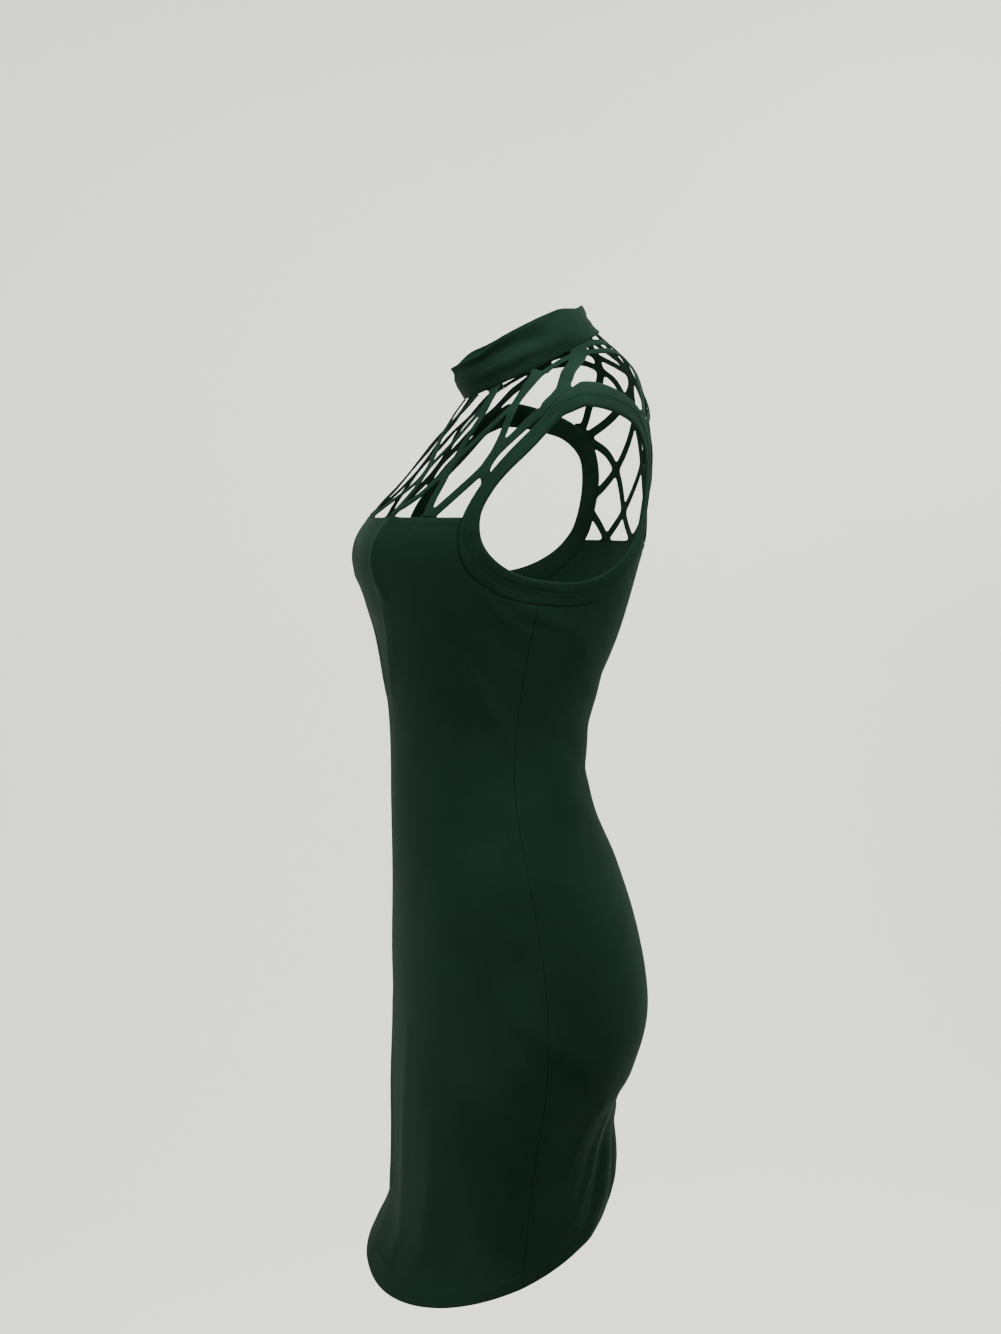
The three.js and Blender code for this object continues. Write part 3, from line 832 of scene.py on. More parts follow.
class ClothMesh:
    """Collects the vertices, faces and knit coordinates of one piece of cloth."""

    def __init__(self) -> None:
        """Start empty."""
        self.places: list[Vector] = []
        self.knit: list[Spot] = []
        self.faces: list[tuple[int, ...]] = []

    def add(self, place: Vector, knit: Spot) -> int:
        """Add a vertex.

        Args:
            place: Its place in millimetres.
            knit: Its place in the knit, likewise.

        Returns:
            Its number.
        """
        self.places.append(place * MM)
        self.knit.append((knit[0] * MM, knit[1] * MM))
        return len(self.places) - 1

    def add_grid(self, rows: Sequence[Sequence[int]], closed: bool = False, inward: bool = False) -> None:
        """Join rows of vertices by faces.

        Args:
            rows: Rows from bottom to top, each running the way that angles grow.
            closed: Whether each row joins its own start.
            inward: Whether the faces look towards the body.
        """
        width = len(rows[0])
        for low, high in zip(rows, rows[1:]):
            for i in range(width if closed else width - 1):
                j = (i + 1) % width
                face = (low[i], low[j], high[j], high[i])
                self.faces.append(face[::-1] if inward else face)

    def add_rim(self, outer: Sequence[int], inner: Sequence[int]) -> None:
        """Close the wall between two matching loops.

        Args:
            outer: The closed loop on the outer face, run with the face on its left.
            inner: The matching one on the inner face.
        """
        count = len(outer)
        for i in range(count):
            j = (i + 1) % count
            self.faces.append((inner[i], inner[j], outer[j], outer[i]))

    def finish(self, name: str, finish: Finish, node: str | None) -> bpy.types.Object:
        """Make the object, smooth and dressed, riding on the dress.

        Args:
            name: The piece's name.
            finish: The finish it takes.
            node: The CAD node that it stands for, if any.

        Returns:
            The object.
        """
        mesh = bpy.data.meshes.new(name)
        mesh.from_pydata(self.places, [], self.faces)
        layer = mesh.uv_layers.new(name="knit")
        numbers = [number for loop in mesh.loops for number in self.knit[loop.vertex_index]]
        layer.data.foreach_set("uv", numbers)
        mesh.polygons.foreach_set("use_smooth", [True] * len(mesh.polygons))
        mesh.materials.append(finish.material())
        mesh.update()
        piece = bpy.data.objects.new(name, mesh)
        bpy.context.scene.collection.objects.link(piece)
        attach(piece, "root")
        if node:
            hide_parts(node)
        return piece


@dataclass
class BodyPanel:
    """The front or the back of the body, from the hem to its straight top edge."""

    half: Half
    top_level: float
    name: str
    node: str
    flat: tuple[float, float]  # the cut, in metres
    flat_area: float  # the cloth in it, in square metres
    columns: int = 80  # of half the panel
    rows: int = 200
    edge_steps: int = 40  # of half the straight top edge
    top_turning: float = 6.5
    hem_turning: float = 20.0
    fan_from: float = 0.45  # share of the height above which the columns lean towards the band
    seam_half_angle: float = 0.015  # half of the gap at a side seam, in degrees
    seam_roll: float = 0.5  # how much the side seams roll, as a share of a free edge's roll
    inner_lie: float = 0.4  # how far the inner face follows the turned edges
    corner_before: float = 0.02  # the share of the width over which the top turning ends
    corner_after: float = 0.01  # before and after the corner at the armhole band
    # Where the rows and columns close up, by the distance from each edge.
    near_hem: tuple[float, ...] = (0.5, 1.0, 1.7, 3.5, 7, 12, 17, 18.5, 20, 21.5, 23, 27)
    near_top: tuple[float, ...] = (0.5, 1.0, 1.7, 3, 4.6, 5.6, 6.5, 7.4, 9)
    near_corner: tuple[float, ...] = (1.2, 2.6)
    near_seam: tuple[float, ...] = (0.5, 1.0, 1.7, 3.0)

    def top_paths(self) -> tuple[SpotPath, SpotPath]:
        """The left half of the panel's top line.

        Returns:
            Its straight edge from the middle, and the line beside the band to the side seam.
        """
        sideways = self.half.sideways
        seam = SIDE_SEAM - sideways * self.seam_half_angle
        beside = stretch_where(
            BAND_OUTLINE, lambda spot: min(self.top_level - spot[1], sideways * (seam - spot[0]))
        )
        if self.half is Half.BACK:
            beside.reverse()
        middle = (self.half.value, self.top_level)
        corner = (beside[0][0], self.top_level)
        straight = [blend(middle, corner, i / self.edge_steps) for i in range(self.edge_steps)]
        return SpotPath([*straight, beside[0]]), SpotPath(beside)

    def build(self) -> bpy.types.Object:
        """Make the cloth, with a wall, turned edges and a knit that follows it.

        Returns:
            The panel.
        """
        edge, side = self.top_paths()
        half_width = edge.length + side.length
        corner = edge.length / half_width
        at_edge = spread_shares(round(self.columns * corner), edge.length, (), self.near_corner)
        at_side = spread_shares(
            round(self.columns * (1 - corner)), side.length, self.near_corner, self.near_seam
        )
        tops = [(t * corner, edge.at(t)) for t in at_edge]
        tops += [(corner + t * (1 - corner), side.at(t)) for t in at_side[1:]]
        tops = [(-turn, top) for turn, top in tops[:0:-1]] + tops
        tall = self.top_level - HEM
        mesh = ClothMesh()
        outer, inner = [], []
        for rise in spread_shares(self.rows, tall, self.near_hem, self.near_top):
            outer_row, inner_row = [], []
            run, before = 0.0, None
            for turn, top in tops:
                angle, level = self.spot(turn, top, rise)
                place, normal = cloth_frame(angle, level)
                run += (place - before).length if before else 0
                before = place
                lie = self.edge_lie(turn, rise, tall, half_width, corner)
                outer_row.append(mesh.add(place + normal * lie, (run, level)))
                inner_row.append(mesh.add(place + normal * (lie * self.inner_lie - CLOTH), (run, level)))
            outer.append(outer_row)
            inner.append(inner_row)
        mesh.add_grid(outer)
        mesh.add_grid(inner, inward=True)
        mesh.add_rim(self.outline(outer), self.outline(inner))
        piece = mesh.finish(self.name, KNIT, self.node)
        return piece

    def spot(self, turn: float, top: Spot, rise: float) -> Spot:
        """Where a column passes at a share of the height.

        Args:
            turn: The column, from -1 at one side seam to 1 at the other.
            top: The spot where its left twin ends.
            rise: The share of the height.

        Returns:
            The spot.
        """
        middle = self.half.value
        even_turn = (SIDE_SEAM - self.seam_half_angle) * abs(turn)
        top_turn = abs(top[0] - middle)
        swing = even_turn + (top_turn - even_turn) * smoothstep(rise, self.fan_from, 1)
        return middle + math.copysign(swing, turn), HEM + (top[1] - HEM) * rise

    def edge_lie(self, turn: float, rise: float, tall: float, half_width: float, corner: float) -> float:
        """How the turned edges and the side seams shape the face.

        Args:
            turn: The column, from -1 at one side seam to 1 at the other.
            rise: The share of the height.
            tall: The height in levels.
            half_width: The length of the top line's half.
            corner: The share of that half which is the straight edge.

        Returns:
            How far out the face lies, in millimetres.
        """
        from_side = (1 - abs(turn)) * half_width
        on_edge = 1 - smoothstep(abs(turn), corner - self.corner_before, corner + self.corner_after)
        from_top = (1 - rise) * tall
        top = turned_edge(from_top, self.top_turning) * on_edge + turned_edge(from_top, 0) * (1 - on_edge)
        side = self.seam_roll * turned_edge(from_side, 0)
        return side + turned_edge(rise * tall, self.hem_turning) + top

    @staticmethod
    def outline(rows: list[list[int]]) -> list[int]:
        """The closed loop round a grid.

        Args:
            rows: The grid's rows of vertices, from bottom to top.

        Returns:
            The loop's vertices, along the bottom row first.
        """
        right = [row[-1] for row in rows[1:-1]]
        left = [row[0] for row in rows[-2:0:-1]]
        return [*rows[0], *right, *rows[-1][::-1], *left]


@dataclass
class StitchRow:
    """Rows of machine stitches along runs of places on the cloth."""

    name: str
    length: float = 2.3
    gap: float = 0.9
    radius: float = 0.24
    sides: int = 5
    end_girth: float = 0.35  # its thickness where it meets the cloth, as a share
    end_dip: float = 0.15  # how far it dips into the cloth there
    full_from: float = 0.18  # the share of its length by which it has its full thickness
    full_lift: float = 0.1  # how far it stands up there

    def build(self, runs: Sequence[Sequence[tuple[Vector, Vector]]]) -> bpy.types.Object:
        """Make the stitches.

        Args:
            runs: For each row, its places in millimetres with their outward directions.

        Returns:
            One object with all the stitches.
        """
        mesh = ClothMesh()
        for run in runs:
            sums = [0.0]
            for (a, _), (b, _) in zip(run, run[1:]):
                sums.append(sums[-1] + (b - a).length)
            along, index = 0.0, 0
            while along + self.length < sums[-1]:
                ends = []
                for wanted in (along, along + self.length):
                    while sums[index + 1] < wanted:
                        index += 1
                    t = (wanted - sums[index]) / max(sums[index + 1] - sums[index], 1e-6)
                    ends.append(run[index][0].lerp(run[index + 1][0], t))
                self.add_stitch(mesh, ends[0], ends[1], run[index][1])
                along += self.length + self.gap
        return mesh.finish(self.name, THREAD, None)

    def add_stitch(self, mesh: ClothMesh, start: Vector, end: Vector, normal: Vector) -> None:
        """Add one stitch, a short rounded thread that dips into the cloth at both ends.

        Args:
            mesh: The mesh that takes it.
            start: Where it comes out of the cloth.
            end: Where it goes back in.
            normal: The outward direction of the cloth.
        """
        way = (end - start).normalized()
        side = way.cross(normal).normalized()
        rings = []
        for share in (0.0, self.full_from, 1 - self.full_from, 1.0):
            at_end = share in (0.0, 1.0)
            girth = self.end_girth if at_end else 1.0
            middle = start.lerp(end, share) + normal * (-self.end_dip if at_end else self.full_lift)
            ring = []
            for k in range(self.sides):
                turn = 2 * math.pi * k / self.sides
                spoke = side * math.cos(turn) + normal * math.sin(turn)
                ring.append(mesh.add(middle + spoke * self.radius * girth, (share * self.length, k)))
            rings.append(ring)
        mesh.add_grid(rings, closed=True)
        mesh.faces.append(tuple(rings[0][::-1]))
        mesh.faces.append(tuple(rings[-1]))


@dataclass
class ArmholeBand:
    """The wide bound band round one armhole."""

    side: Side
    name: str
    node: str
    flat: tuple[float, float]  # the cut, in metres
    stations: int = 280
    binding: float = 9.0  # from the armhole's edge to the binding's seam
    second_line: float = 11.5  # from the armhole's edge to the second groove
    inside: float = 1.9  # how far the inner face lies inside the body's outer face
    crown: float = 0.9  # how far the binding stands proud
    ripple: float = 0.3  # its unevenness
    ripple_length: float = 11.0
    stitches_before_binding: float = 1.5  # the first row, inwards from the binding's seam
    stitches_past_line: float = 0.6  # the second row, past the second groove
    stitches_rise: float = 0.75
    stitches_limit: float = 0.8  # the share of the width past which no stitch lies

    def profile(self, width: float) -> list[tuple[float, float]]:
        """The band's cross-section at a width.

        Args:
            width: From the armhole's edge to the far seam, in millimetres.

        Returns:
            Distances from the armhole's edge with how far out each lies, over the outer face
            and back along the inner one.
        """
        seam = min(self.binding, width * 0.55)
        line = min(self.second_line, width * 0.7)
        full, deep = self.crown, -self.inside
        rolled_edge = [(0.0, -0.7), (0.3, 0.0), (0.9, 0.5), (2.0, full - 0.1)]
        binding = [(seam * 0.45, full), (seam - 1.6, full - 0.1), (seam - 0.6, 0.6)]
        grooves = [(seam, 0.3), (seam + 0.6, 0.55), (line - 0.5, 0.6), (line, 0.42), (line + 0.6, 0.6)]
        flat = [((line + width) / 2, 0.7), (width - 2.2, 0.6)]
        far_edge = [(width - 0.9, 0.35), (width - 0.25, -0.2), (width, -0.8), (width - 0.2, -1.5)]
        inner_face = [(width - 1.2, deep), (width * 0.5, deep), (1.2, deep), (0.25, -1.5)]
        return rolled_edge + binding + grooves + flat + far_edge + inner_face

    def spot(self, t: float, share: float) -> Spot:
        """A spot of the left band: share 0 is the armhole's edge and 1 the far seam."""
        return blend(ARMHOLE_LINE.at(t), BAND_FAR_LINE.at(t), share)

    def place(self, t: float, distance: float, width: float, out: float) -> tuple[Vector, Vector]:
        """A place on this side's band.

        Args:
            t: The station, from 0 to 1 round the armhole.
            distance: From the armhole's edge, in millimetres.
            width: The band's width there.
            out: How far out of the body's face.

        Returns:
            The place in millimetres, with the outward direction.
        """
        angle, level = self.spot(t, distance / width)
        place, normal = cloth_frame(angle, level)
        on_face = smoothstep(out, -0.5, 0.6)
        ripple = self.ripple * noise.noise(place / self.ripple_length) * on_face
        place += normal * (out + ripple)
        mirror = Vector((self.side.value, 1, 1))
        return place * mirror, normal * mirror

    def widths(self) -> list[float]:
        """The band's width at each station.

        Returns:
            The widths in millimetres.
        """
        found = []
        for i in range(self.stations):
            t = i / self.stations
            found.append((body_place(*self.spot(t, 1)) - body_place(*self.spot(t, 0))).length)
        return found

    def build(self) -> bpy.types.Object:
        """Make the band and the stitches beside its seam.

        Returns:
            The band.
        """
        mesh = ClothMesh()
        rings, seams = [], ([], [])
        seam_places = (
            self.binding - self.stitches_before_binding, self.second_line + self.stitches_past_line
        )
        run, before = 0.0, None
        for i, width in enumerate(self.widths()):
            t = i / self.stations
            ring = []
            across = 0.0
            for distance, out in self.profile(width):
                place, normal = self.place(t, distance, width, out)
                ring.append(mesh.add(place, (run, across)))
                across = distance
            rings.append(ring)
            for seam, wanted in zip(seams, seam_places):
                distance = min(wanted, width * self.stitches_limit)
                seam.append(self.place(t, distance, width, self.stitches_rise))
            middle = body_place(*self.spot(t, 0.5))
            run += (middle - before).length if before else 0
            before = middle
        forwards = self.side is Side.LEFT
        columns = [[ring[k] for ring in rings] for k in range(len(rings[0]))]
        columns.append(columns[0])
        mesh.add_grid(columns, closed=True, inward=not forwards)
        piece = mesh.finish(self.name, KNIT, self.node)
        stitches = StitchRow(self.name + "_stitches").build([[*seam, seam[0]] for seam in seams])
        return piece


@dataclass
class Collar:
    """The stand collar, a funnel of doubled knit that leans forwards and slouches."""

    name: str
    node: str
    flat: tuple[float, float]  # the cut, in metres
    top: Section = Section(0, -95, 26, 63, -38, 54, 18, 82, 2.1)
    stations: int = 260
    outer_steps: int = 18
    inner_steps: int = 14
    height: float = 55.0  # on the scale of the creases
    wall: float = 2.4  # two layers of knit
    crown: float = 1.2  # its outward rounding
    crown_share: float = 0.95  # the share of the height that is rounded so
    foot_roll: float = 0.7
    foot_share: float = 0.03  # the share of the height that rolls in at the foot
    top_rounding: float = 0.5
    lip: float = 3.2  # how far the top leans out behind
    side_rise: float = 5.0  # how much higher the top stands at the sides
    back_drop: float = 2.5  # how much lower it slouches behind
    foot_flare: float = 2.2  # how far the foot stands out where it is loose
    edge_wave: float = 1.6
    edge_wave_pace: float = 1.7  # how quickly the wave comes and goes round the edge
    ripple: float = 0.5
    ripple_length: float = 17.0

    def middle(self, angle: float, rise: float) -> Vector:
        """A place between the foot and the top ring."""
        return body_place(angle, NECK).lerp(ring_place(self.top, angle), rise)

    def bulge(self, rise: float) -> float:
        """How far the wall bows outwards at a share of the height."""
        return self.crown * math.sin(math.pi * clamp(rise / self.crown_share, 0, 1))

    def profile(self) -> list[tuple[float, float]]:
        """The collar's cross-section, up its face, over the top and down inside.

        Returns:
            Shares of the height, each with how far out the wall lies there.
        """
        even = [self.foot_share + 0.9 * (i + 1) / self.outer_steps for i in range(self.outer_steps)]
        shape = []
        for rise in [0, 0.012, self.foot_share, *even, 0.955, 0.975, 0.99]:
            below = 1 - rise / self.foot_share
            foot = -self.foot_roll * below**2 if below > 0 else 0.0
            rounding = -self.top_rounding * smoothstep(rise, 0.965, 1.0)
            shape.append((rise, self.bulge(rise) + foot + rounding))
        shape += [(1.0, -self.wall * 0.35), (1.0, -self.wall * 0.65), (0.99, -self.wall + 0.3)]
        for i in range(self.inner_steps + 1):
            rise = 0.97 * (1 - i / self.inner_steps)
            shape.append((rise, self.bulge(rise) - self.wall))
        return shape

    def wave(self, angle: float) -> float:
        """How the top edge waves.

        Args:
            angle: The angle in degrees.

        Returns:
            How far up or down it lies there, in millimetres.
        """
        turn = math.radians(angle)
        round_place = Vector((math.cos(turn), math.sin(turn), 0))
        return self.edge_wave * noise.noise(round_place * self.edge_wave_pace)

    def place(self, folds: FoldField, angle: float, rise: float, out: float) -> Vector:
        """A place on the collar, with its slouch, its folds and its ripples.

        Args:
            folds: The collar's folds.
            angle: The angle in degrees.
            rise: The share of the height.
            out: How far out of the smooth form, in millimetres.

        Returns:
            The place in millimetres.
        """
        around = self.middle(angle + 1, rise) - self.middle(angle - 1, rise)
        upward = self.middle(angle, 1) - self.middle(angle, 0)
        normal = around.cross(upward).normalized()
        # Where the collar counts as behind, beside and loose, by degrees from the middle of the front.
        turned = abs(angle)
        behind = smoothstep(turned, 120, 165)
        beside = smoothstep(turned, 40, 72) * (1 - smoothstep(turned, 118, 146))
        loose_in_front = 0.8 * math.exp(-(((turned - 34) / 16) ** 2))
        loose = max(behind, loose_in_front)
        slouch = self.lip * behind * smoothstep(rise, 0.45, 1)
        slouch += self.foot_flare * loose * (1 - smoothstep(rise, 0, 0.3))
        raised = self.wave(angle) + self.side_rise * beside - self.back_drop * behind
        raised *= smoothstep(rise, 0.3, 1)
        place = self.middle(angle, rise) + upward.normalized() * raised
        lift = folds.rise_at(angle, rise * self.height) * smoothstep(rise, 0, 0.15)
        lift += self.ripple * noise.noise(place / self.ripple_length) * smoothstep(rise, 0, 0.2)
        return place + normal * (out + lift + slouch)

    def build(self) -> bpy.types.Object:
        """Make the collar.

        Returns:
            The collar.
        """
        folds = FoldField(COLLAR_FOLDS, COLLAR_MM_PER_DEGREE, mirrored=True)
        mesh = ClothMesh()
        columns = []
        for i in range(self.stations):
            angle = 360 * i / self.stations - 180
            column = []
            for rise, out in self.profile():
                knit = (angle * COLLAR_MM_PER_DEGREE, rise * self.height)
                column.append(mesh.add(self.place(folds, angle, rise, out), knit))
            columns.append(column)
        rows = [[column[k] for column in columns] for k in range(len(columns[0]))]
        rows.append(rows[0])
        mesh.add_grid(rows, closed=True)
        piece = mesh.finish(self.name, KNIT, self.node)
        return piece


@dataclass(frozen=True)
class Strap:
    """One strap of a yoke, by the spots along its middle."""

    width: float
    spots: tuple[Spot, ...]


# It runs from the band over the shoulder seam to the collar, so both yokes have a part of it.
SHOULDER_STRAP = Strap(SHOULDER_STRAP_WIDTH, (
    (74, -43), (76.5, -38.5), (79.5, -32), (86.2, -24), (97, -15.5), (108, -8.6), (115.5, -2.5),
    (120.5, 3.5),
))
FRONT_STRAPS = (
    Strap(BROAD_STRAP_WIDTH, (
        (42, -113), (44.8, -103.6), (49.4, -88.1), (52.8, -76.9), (54.5, -66.1), (58.3, -56.6),
        (62.6, -49.9), (67.1, -45.9), (72.3, -42), (77, -37),
    )),
    Strap(STRAP_WIDTH, (
        (20, -113), (22.9, -103.5), (29.2, -89), (33.6, -74.1), (37.3, -59.1), (41.9, -48.9),
        (48.1, -39.4), (53.6, -32), (58.9, -25.6), (67.7, -17.6), (78.9, -10.3), (89.4, -6.9),
    )),
    Strap(FINE_STRAP_WIDTH, (
        (-6, -113), (0, -105), (9, -93.5), (17.5, -79.5), (20.6, -63), (25.8, -46.3),
        (30.6, -31), (36.8, -19), (43.2, -9), (49, 4),
    )),
    Strap(STRAP_WIDTH, (
        (63, -89), (57.5, -82.5), (54.4, -74.5), (53.3, -66.3), (52.3, -57.3), (51.9, -49.2),
        (53.3, -39.5), (55.2, -30.7), (59.9, -22.7), (68.1, -13.6), (78.4, -6.4), (88, 3),
    )),
    Strap(STRAP_WIDTH, (
        (45, -113), (42, -103.5), (39, -92.1), (36.3, -77), (34.5, -65), (33.6, -51.1),
        (34.8, -38.2), (37.5, -23.7), (42, -8.5), (46, 4),
    )),
    Strap(FINE_STRAP_WIDTH, (
        (24, -113), (22.6, -101.5), (21.8, -90.6), (21.2, -80), (19, -66.7), (14.5, -52.3),
        (8, -40), (0, -29), (-8, -19.5), (-15, -9), (-20, 4),
    )),
    SHOULDER_STRAP,
)
BACK_STRAPS = (
    Strap(STRAP_WIDTH, (
        (78.9, -10.3), (89.4, -6.9), (99.1, -4.5), (109, -5), (120, -7.6), (133.6, -10.6),
        (146, -14), (154, -21.5), (163, -36), (171, -54), (180, -76), (190, -101), (198, -119),
        (204, -136),
    )),
    SHOULDER_STRAP,
    Strap(STRAP_WIDTH, (
        (114, 5), (124, -0.8), (141, -4), (156, -8.5), (166, -18), (180, -31), (194, -42),
        (208, -51), (219, -58), (226, -62),
    )),
    Strap(STRAP_WIDTH, (
        (184, -136), (178, -122), (170, -103), (160, -81), (152, -69.5), (141, -61.5), (134, -56),
    )),
    Strap(STRAP_WIDTH, ((163, -136), (158, -124), (152, -110), (143, -97))),
    Strap(STRAP_WIDTH, (
        (142, -97), (151, -89), (159, -78), (166, -62), (171, -47), (177, -30), (184, -13), (191, 4),
    )),
    Strap(STRAP_WIDTH, (
        (131, -61), (136, -55.5), (143.7, -39.2), (154.4, -22), (161.7, -9), (168, 4),
    )),
)


# A place along a strap's middle, half the strap's width there, and the strap's number.
StrapSample = tuple[Vector, float, int]


@dataclass
class StrapYoke:
    """The yoke of crossing straps in front or behind, cut through between them.

    Its edge lies where the depth in the straps is zero. The depth is the half width of the
    nearest strap less the distance to its middle, smoothed where straps and seams meet, so that
    the corners are webbed.
    """

    half: Half
    edge_level: float
    straps: tuple[Strap, ...]
    name: str
    node: str
    flat: tuple[float, float]  # the cut, in metres
    flat_area: float  # the cloth in it, in square metres
    cell: float = 0.8  # of the grid that the yoke is cut from
    path_steps: int = 160  # of each strap's line
    sample_spacing: float = 0.7
    webbing: float = 4.5  # how widely a corner between straps is webbed
    seam_webbing: float = 3.0  # and a corner at a seam
    seam_web_start: float = 0.4  # how far from the seam that webbing begins
    flare: float = 0.9  # how much wider a strap grows at its sewn ends, as a share
    flare_length: float = 14.0
    crown: float = 0.35  # how far the middle of a strap stands up
    seam_half_angle: float = 0.12  # half of the gap at a shoulder seam, in degrees
    width_level: float = -80.0  # the level at which the grid's width is measured
    arc_per_chord: float = 1.25  # how much longer the way round is than the straight line
    strap_reach: float = 14.0  # how far off a strap is looked for
    web_reach: float = 9.0  # how far from a strap the webbing at a seam may lie
    band_reach: float = 15.0  # how far off the band's direction is trusted
    far_outside: float = -20.0  # the depth where no strap is near
    samples: list[StrapSample] = field(init=False, default_factory=list)
    strap_tree: kdtree.KDTree | None = field(init=False, default=None)
    band_tree: kdtree.KDTree | None = field(init=False, default=None)
    away_from_band: list[Vector] = field(init=False, default_factory=list)

    def sample_straps(self) -> None:
        """Take places along the middles of all the straps, and their search tree."""
        middle = self.half.value
        for number, strap in enumerate(self.straps):
            line = SmoothLine(strap.spots, closed=False)
            path = SpotPath([line.at(i / self.path_steps) for i in range(self.path_steps + 1)])
            count = math.ceil(path.length / self.sample_spacing)
            for i in range(count + 1):
                share = i / count
                from_end = min(share, 1 - share) * path.length
                flare = 1 + self.flare * max(0, 1 - from_end / self.flare_length) ** 2
                angle, level = path.at(share)
                for copy, turned in enumerate((angle, 2 * middle - angle)):
                    place = body_place(turned, level)
                    self.samples.append((place, strap.width / 2 * flare, number * 2 + copy))
        self.strap_tree = kdtree.KDTree(len(self.samples))
        for index, (place, _, _) in enumerate(self.samples):
            self.strap_tree.insert(place, index)
        self.strap_tree.balance()

    def sample_band(self) -> None:
        """Take the line beside the left band, the directions away from it, and its search tree."""
        self.band_tree = kdtree.KDTree(OUTLINE_STEPS)
        for i, spot in enumerate(BAND_OUTLINE):
            self.band_tree.insert(body_place(*spot), i)
            self.away_from_band.append(BAND_FAR_LINE.heading_across(i / OUTLINE_STEPS))
        self.band_tree.balance()

    def grid(self) -> tuple[list[float], list[float]]:
        """The grid that the yoke is cut from.

        Returns:
            Its angles, evenly on both sides of the middle, and its levels from the bottom up.
        """
        middle = self.half.value
        seam = SHOULDER_SEAM - self.half.sideways * self.seam_half_angle
        reach = abs(seam - middle)
        end = body_place(middle + reach, self.width_level)
        chord = (end - body_place(middle, self.width_level)).length
        half_count = round(chord * self.arc_per_chord / self.cell)
        angles = [middle + reach * i / half_count for i in range(-half_count, half_count + 1)]
        low, high = self.edge_level + SEAM_GAP, NECK - NECK_GAP
        count = round((high - low) / self.cell)
        return angles, [low + (high - low) * i / count for i in range(count + 1)]

    def depth_in_straps(self, place: Vector) -> float:
        """How far inside the straps a place lies, with the corners between them webbed.

        Args:
            place: The place in millimetres.

        Returns:
            The depth, which is negative outside.
        """
        nearest: dict[int, float] = {}
        for _, index, distance in self.strap_tree.find_range(place, self.strap_reach):
            _, half_width, strap = self.samples[index]
            nearest[strap] = max(nearest.get(strap, self.far_outside), half_width - distance)
        depth = self.far_outside
        for strap_depth in sorted(nearest.values()):
            depth = smooth_max(depth, strap_depth, self.webbing)
        return depth

    def distance_from_band(self, place: Vector) -> float:
        """How far a place lies from the nearer band's edge.

        Args:
            place: The place in millimetres.

        Returns:
            The distance, which is negative under the band.
        """
        mirrored = Vector((abs(place.x), place.y, place.z))
        beside, index, distance = self.band_tree.find(mirrored)
        away = (mirrored - beside).dot(self.away_from_band[index])
        if distance < self.band_reach:
            return away
        return -self.band_reach if away < 0 else self.band_reach

    def depth_at(self, angle: float, level: float) -> tuple[float, float]:
        """How far inside the cloth a spot lies.

        Args:
            angle: The angle in degrees.
            level: The level in millimetres.

        Returns:
            The depth in the straps and the distance from the band, both in millimetres.
        """
        place = body_place(angle, level)
        from_band = self.distance_from_band(place)
        upward = body_tangents(angle, level)[1].length
        from_edge = (level - self.edge_level - SEAM_GAP) * upward
        from_neck = (NECK - NECK_GAP - level) * upward
        depth = self.depth_in_straps(place)
        if depth > -self.web_reach:
            seams = min(from_edge, from_band, from_neck)
            depth = smooth_max(depth, -abs(seams) - self.seam_web_start, self.seam_webbing)
        return depth, from_band

    def build(self) -> bpy.types.Object:
        """Cut the yoke out of the grid and give it a wall.

        Returns:
            The yoke.
        """
        self.sample_straps()
        self.sample_band()
        angles, levels = self.grid()
        half = len(angles) // 2
        depths: list[list[tuple[float, float]]] = []
        for level in levels:
            one_half = [self.depth_at(angle, level) for angle in angles[half:]]
            depths.append(one_half[:0:-1] + one_half)
        mesh = ClothMesh()
        YokeCut(mesh, angles, levels, depths, self.crown).run()
        piece = mesh.finish(self.name, KNIT, self.node)
        return piece


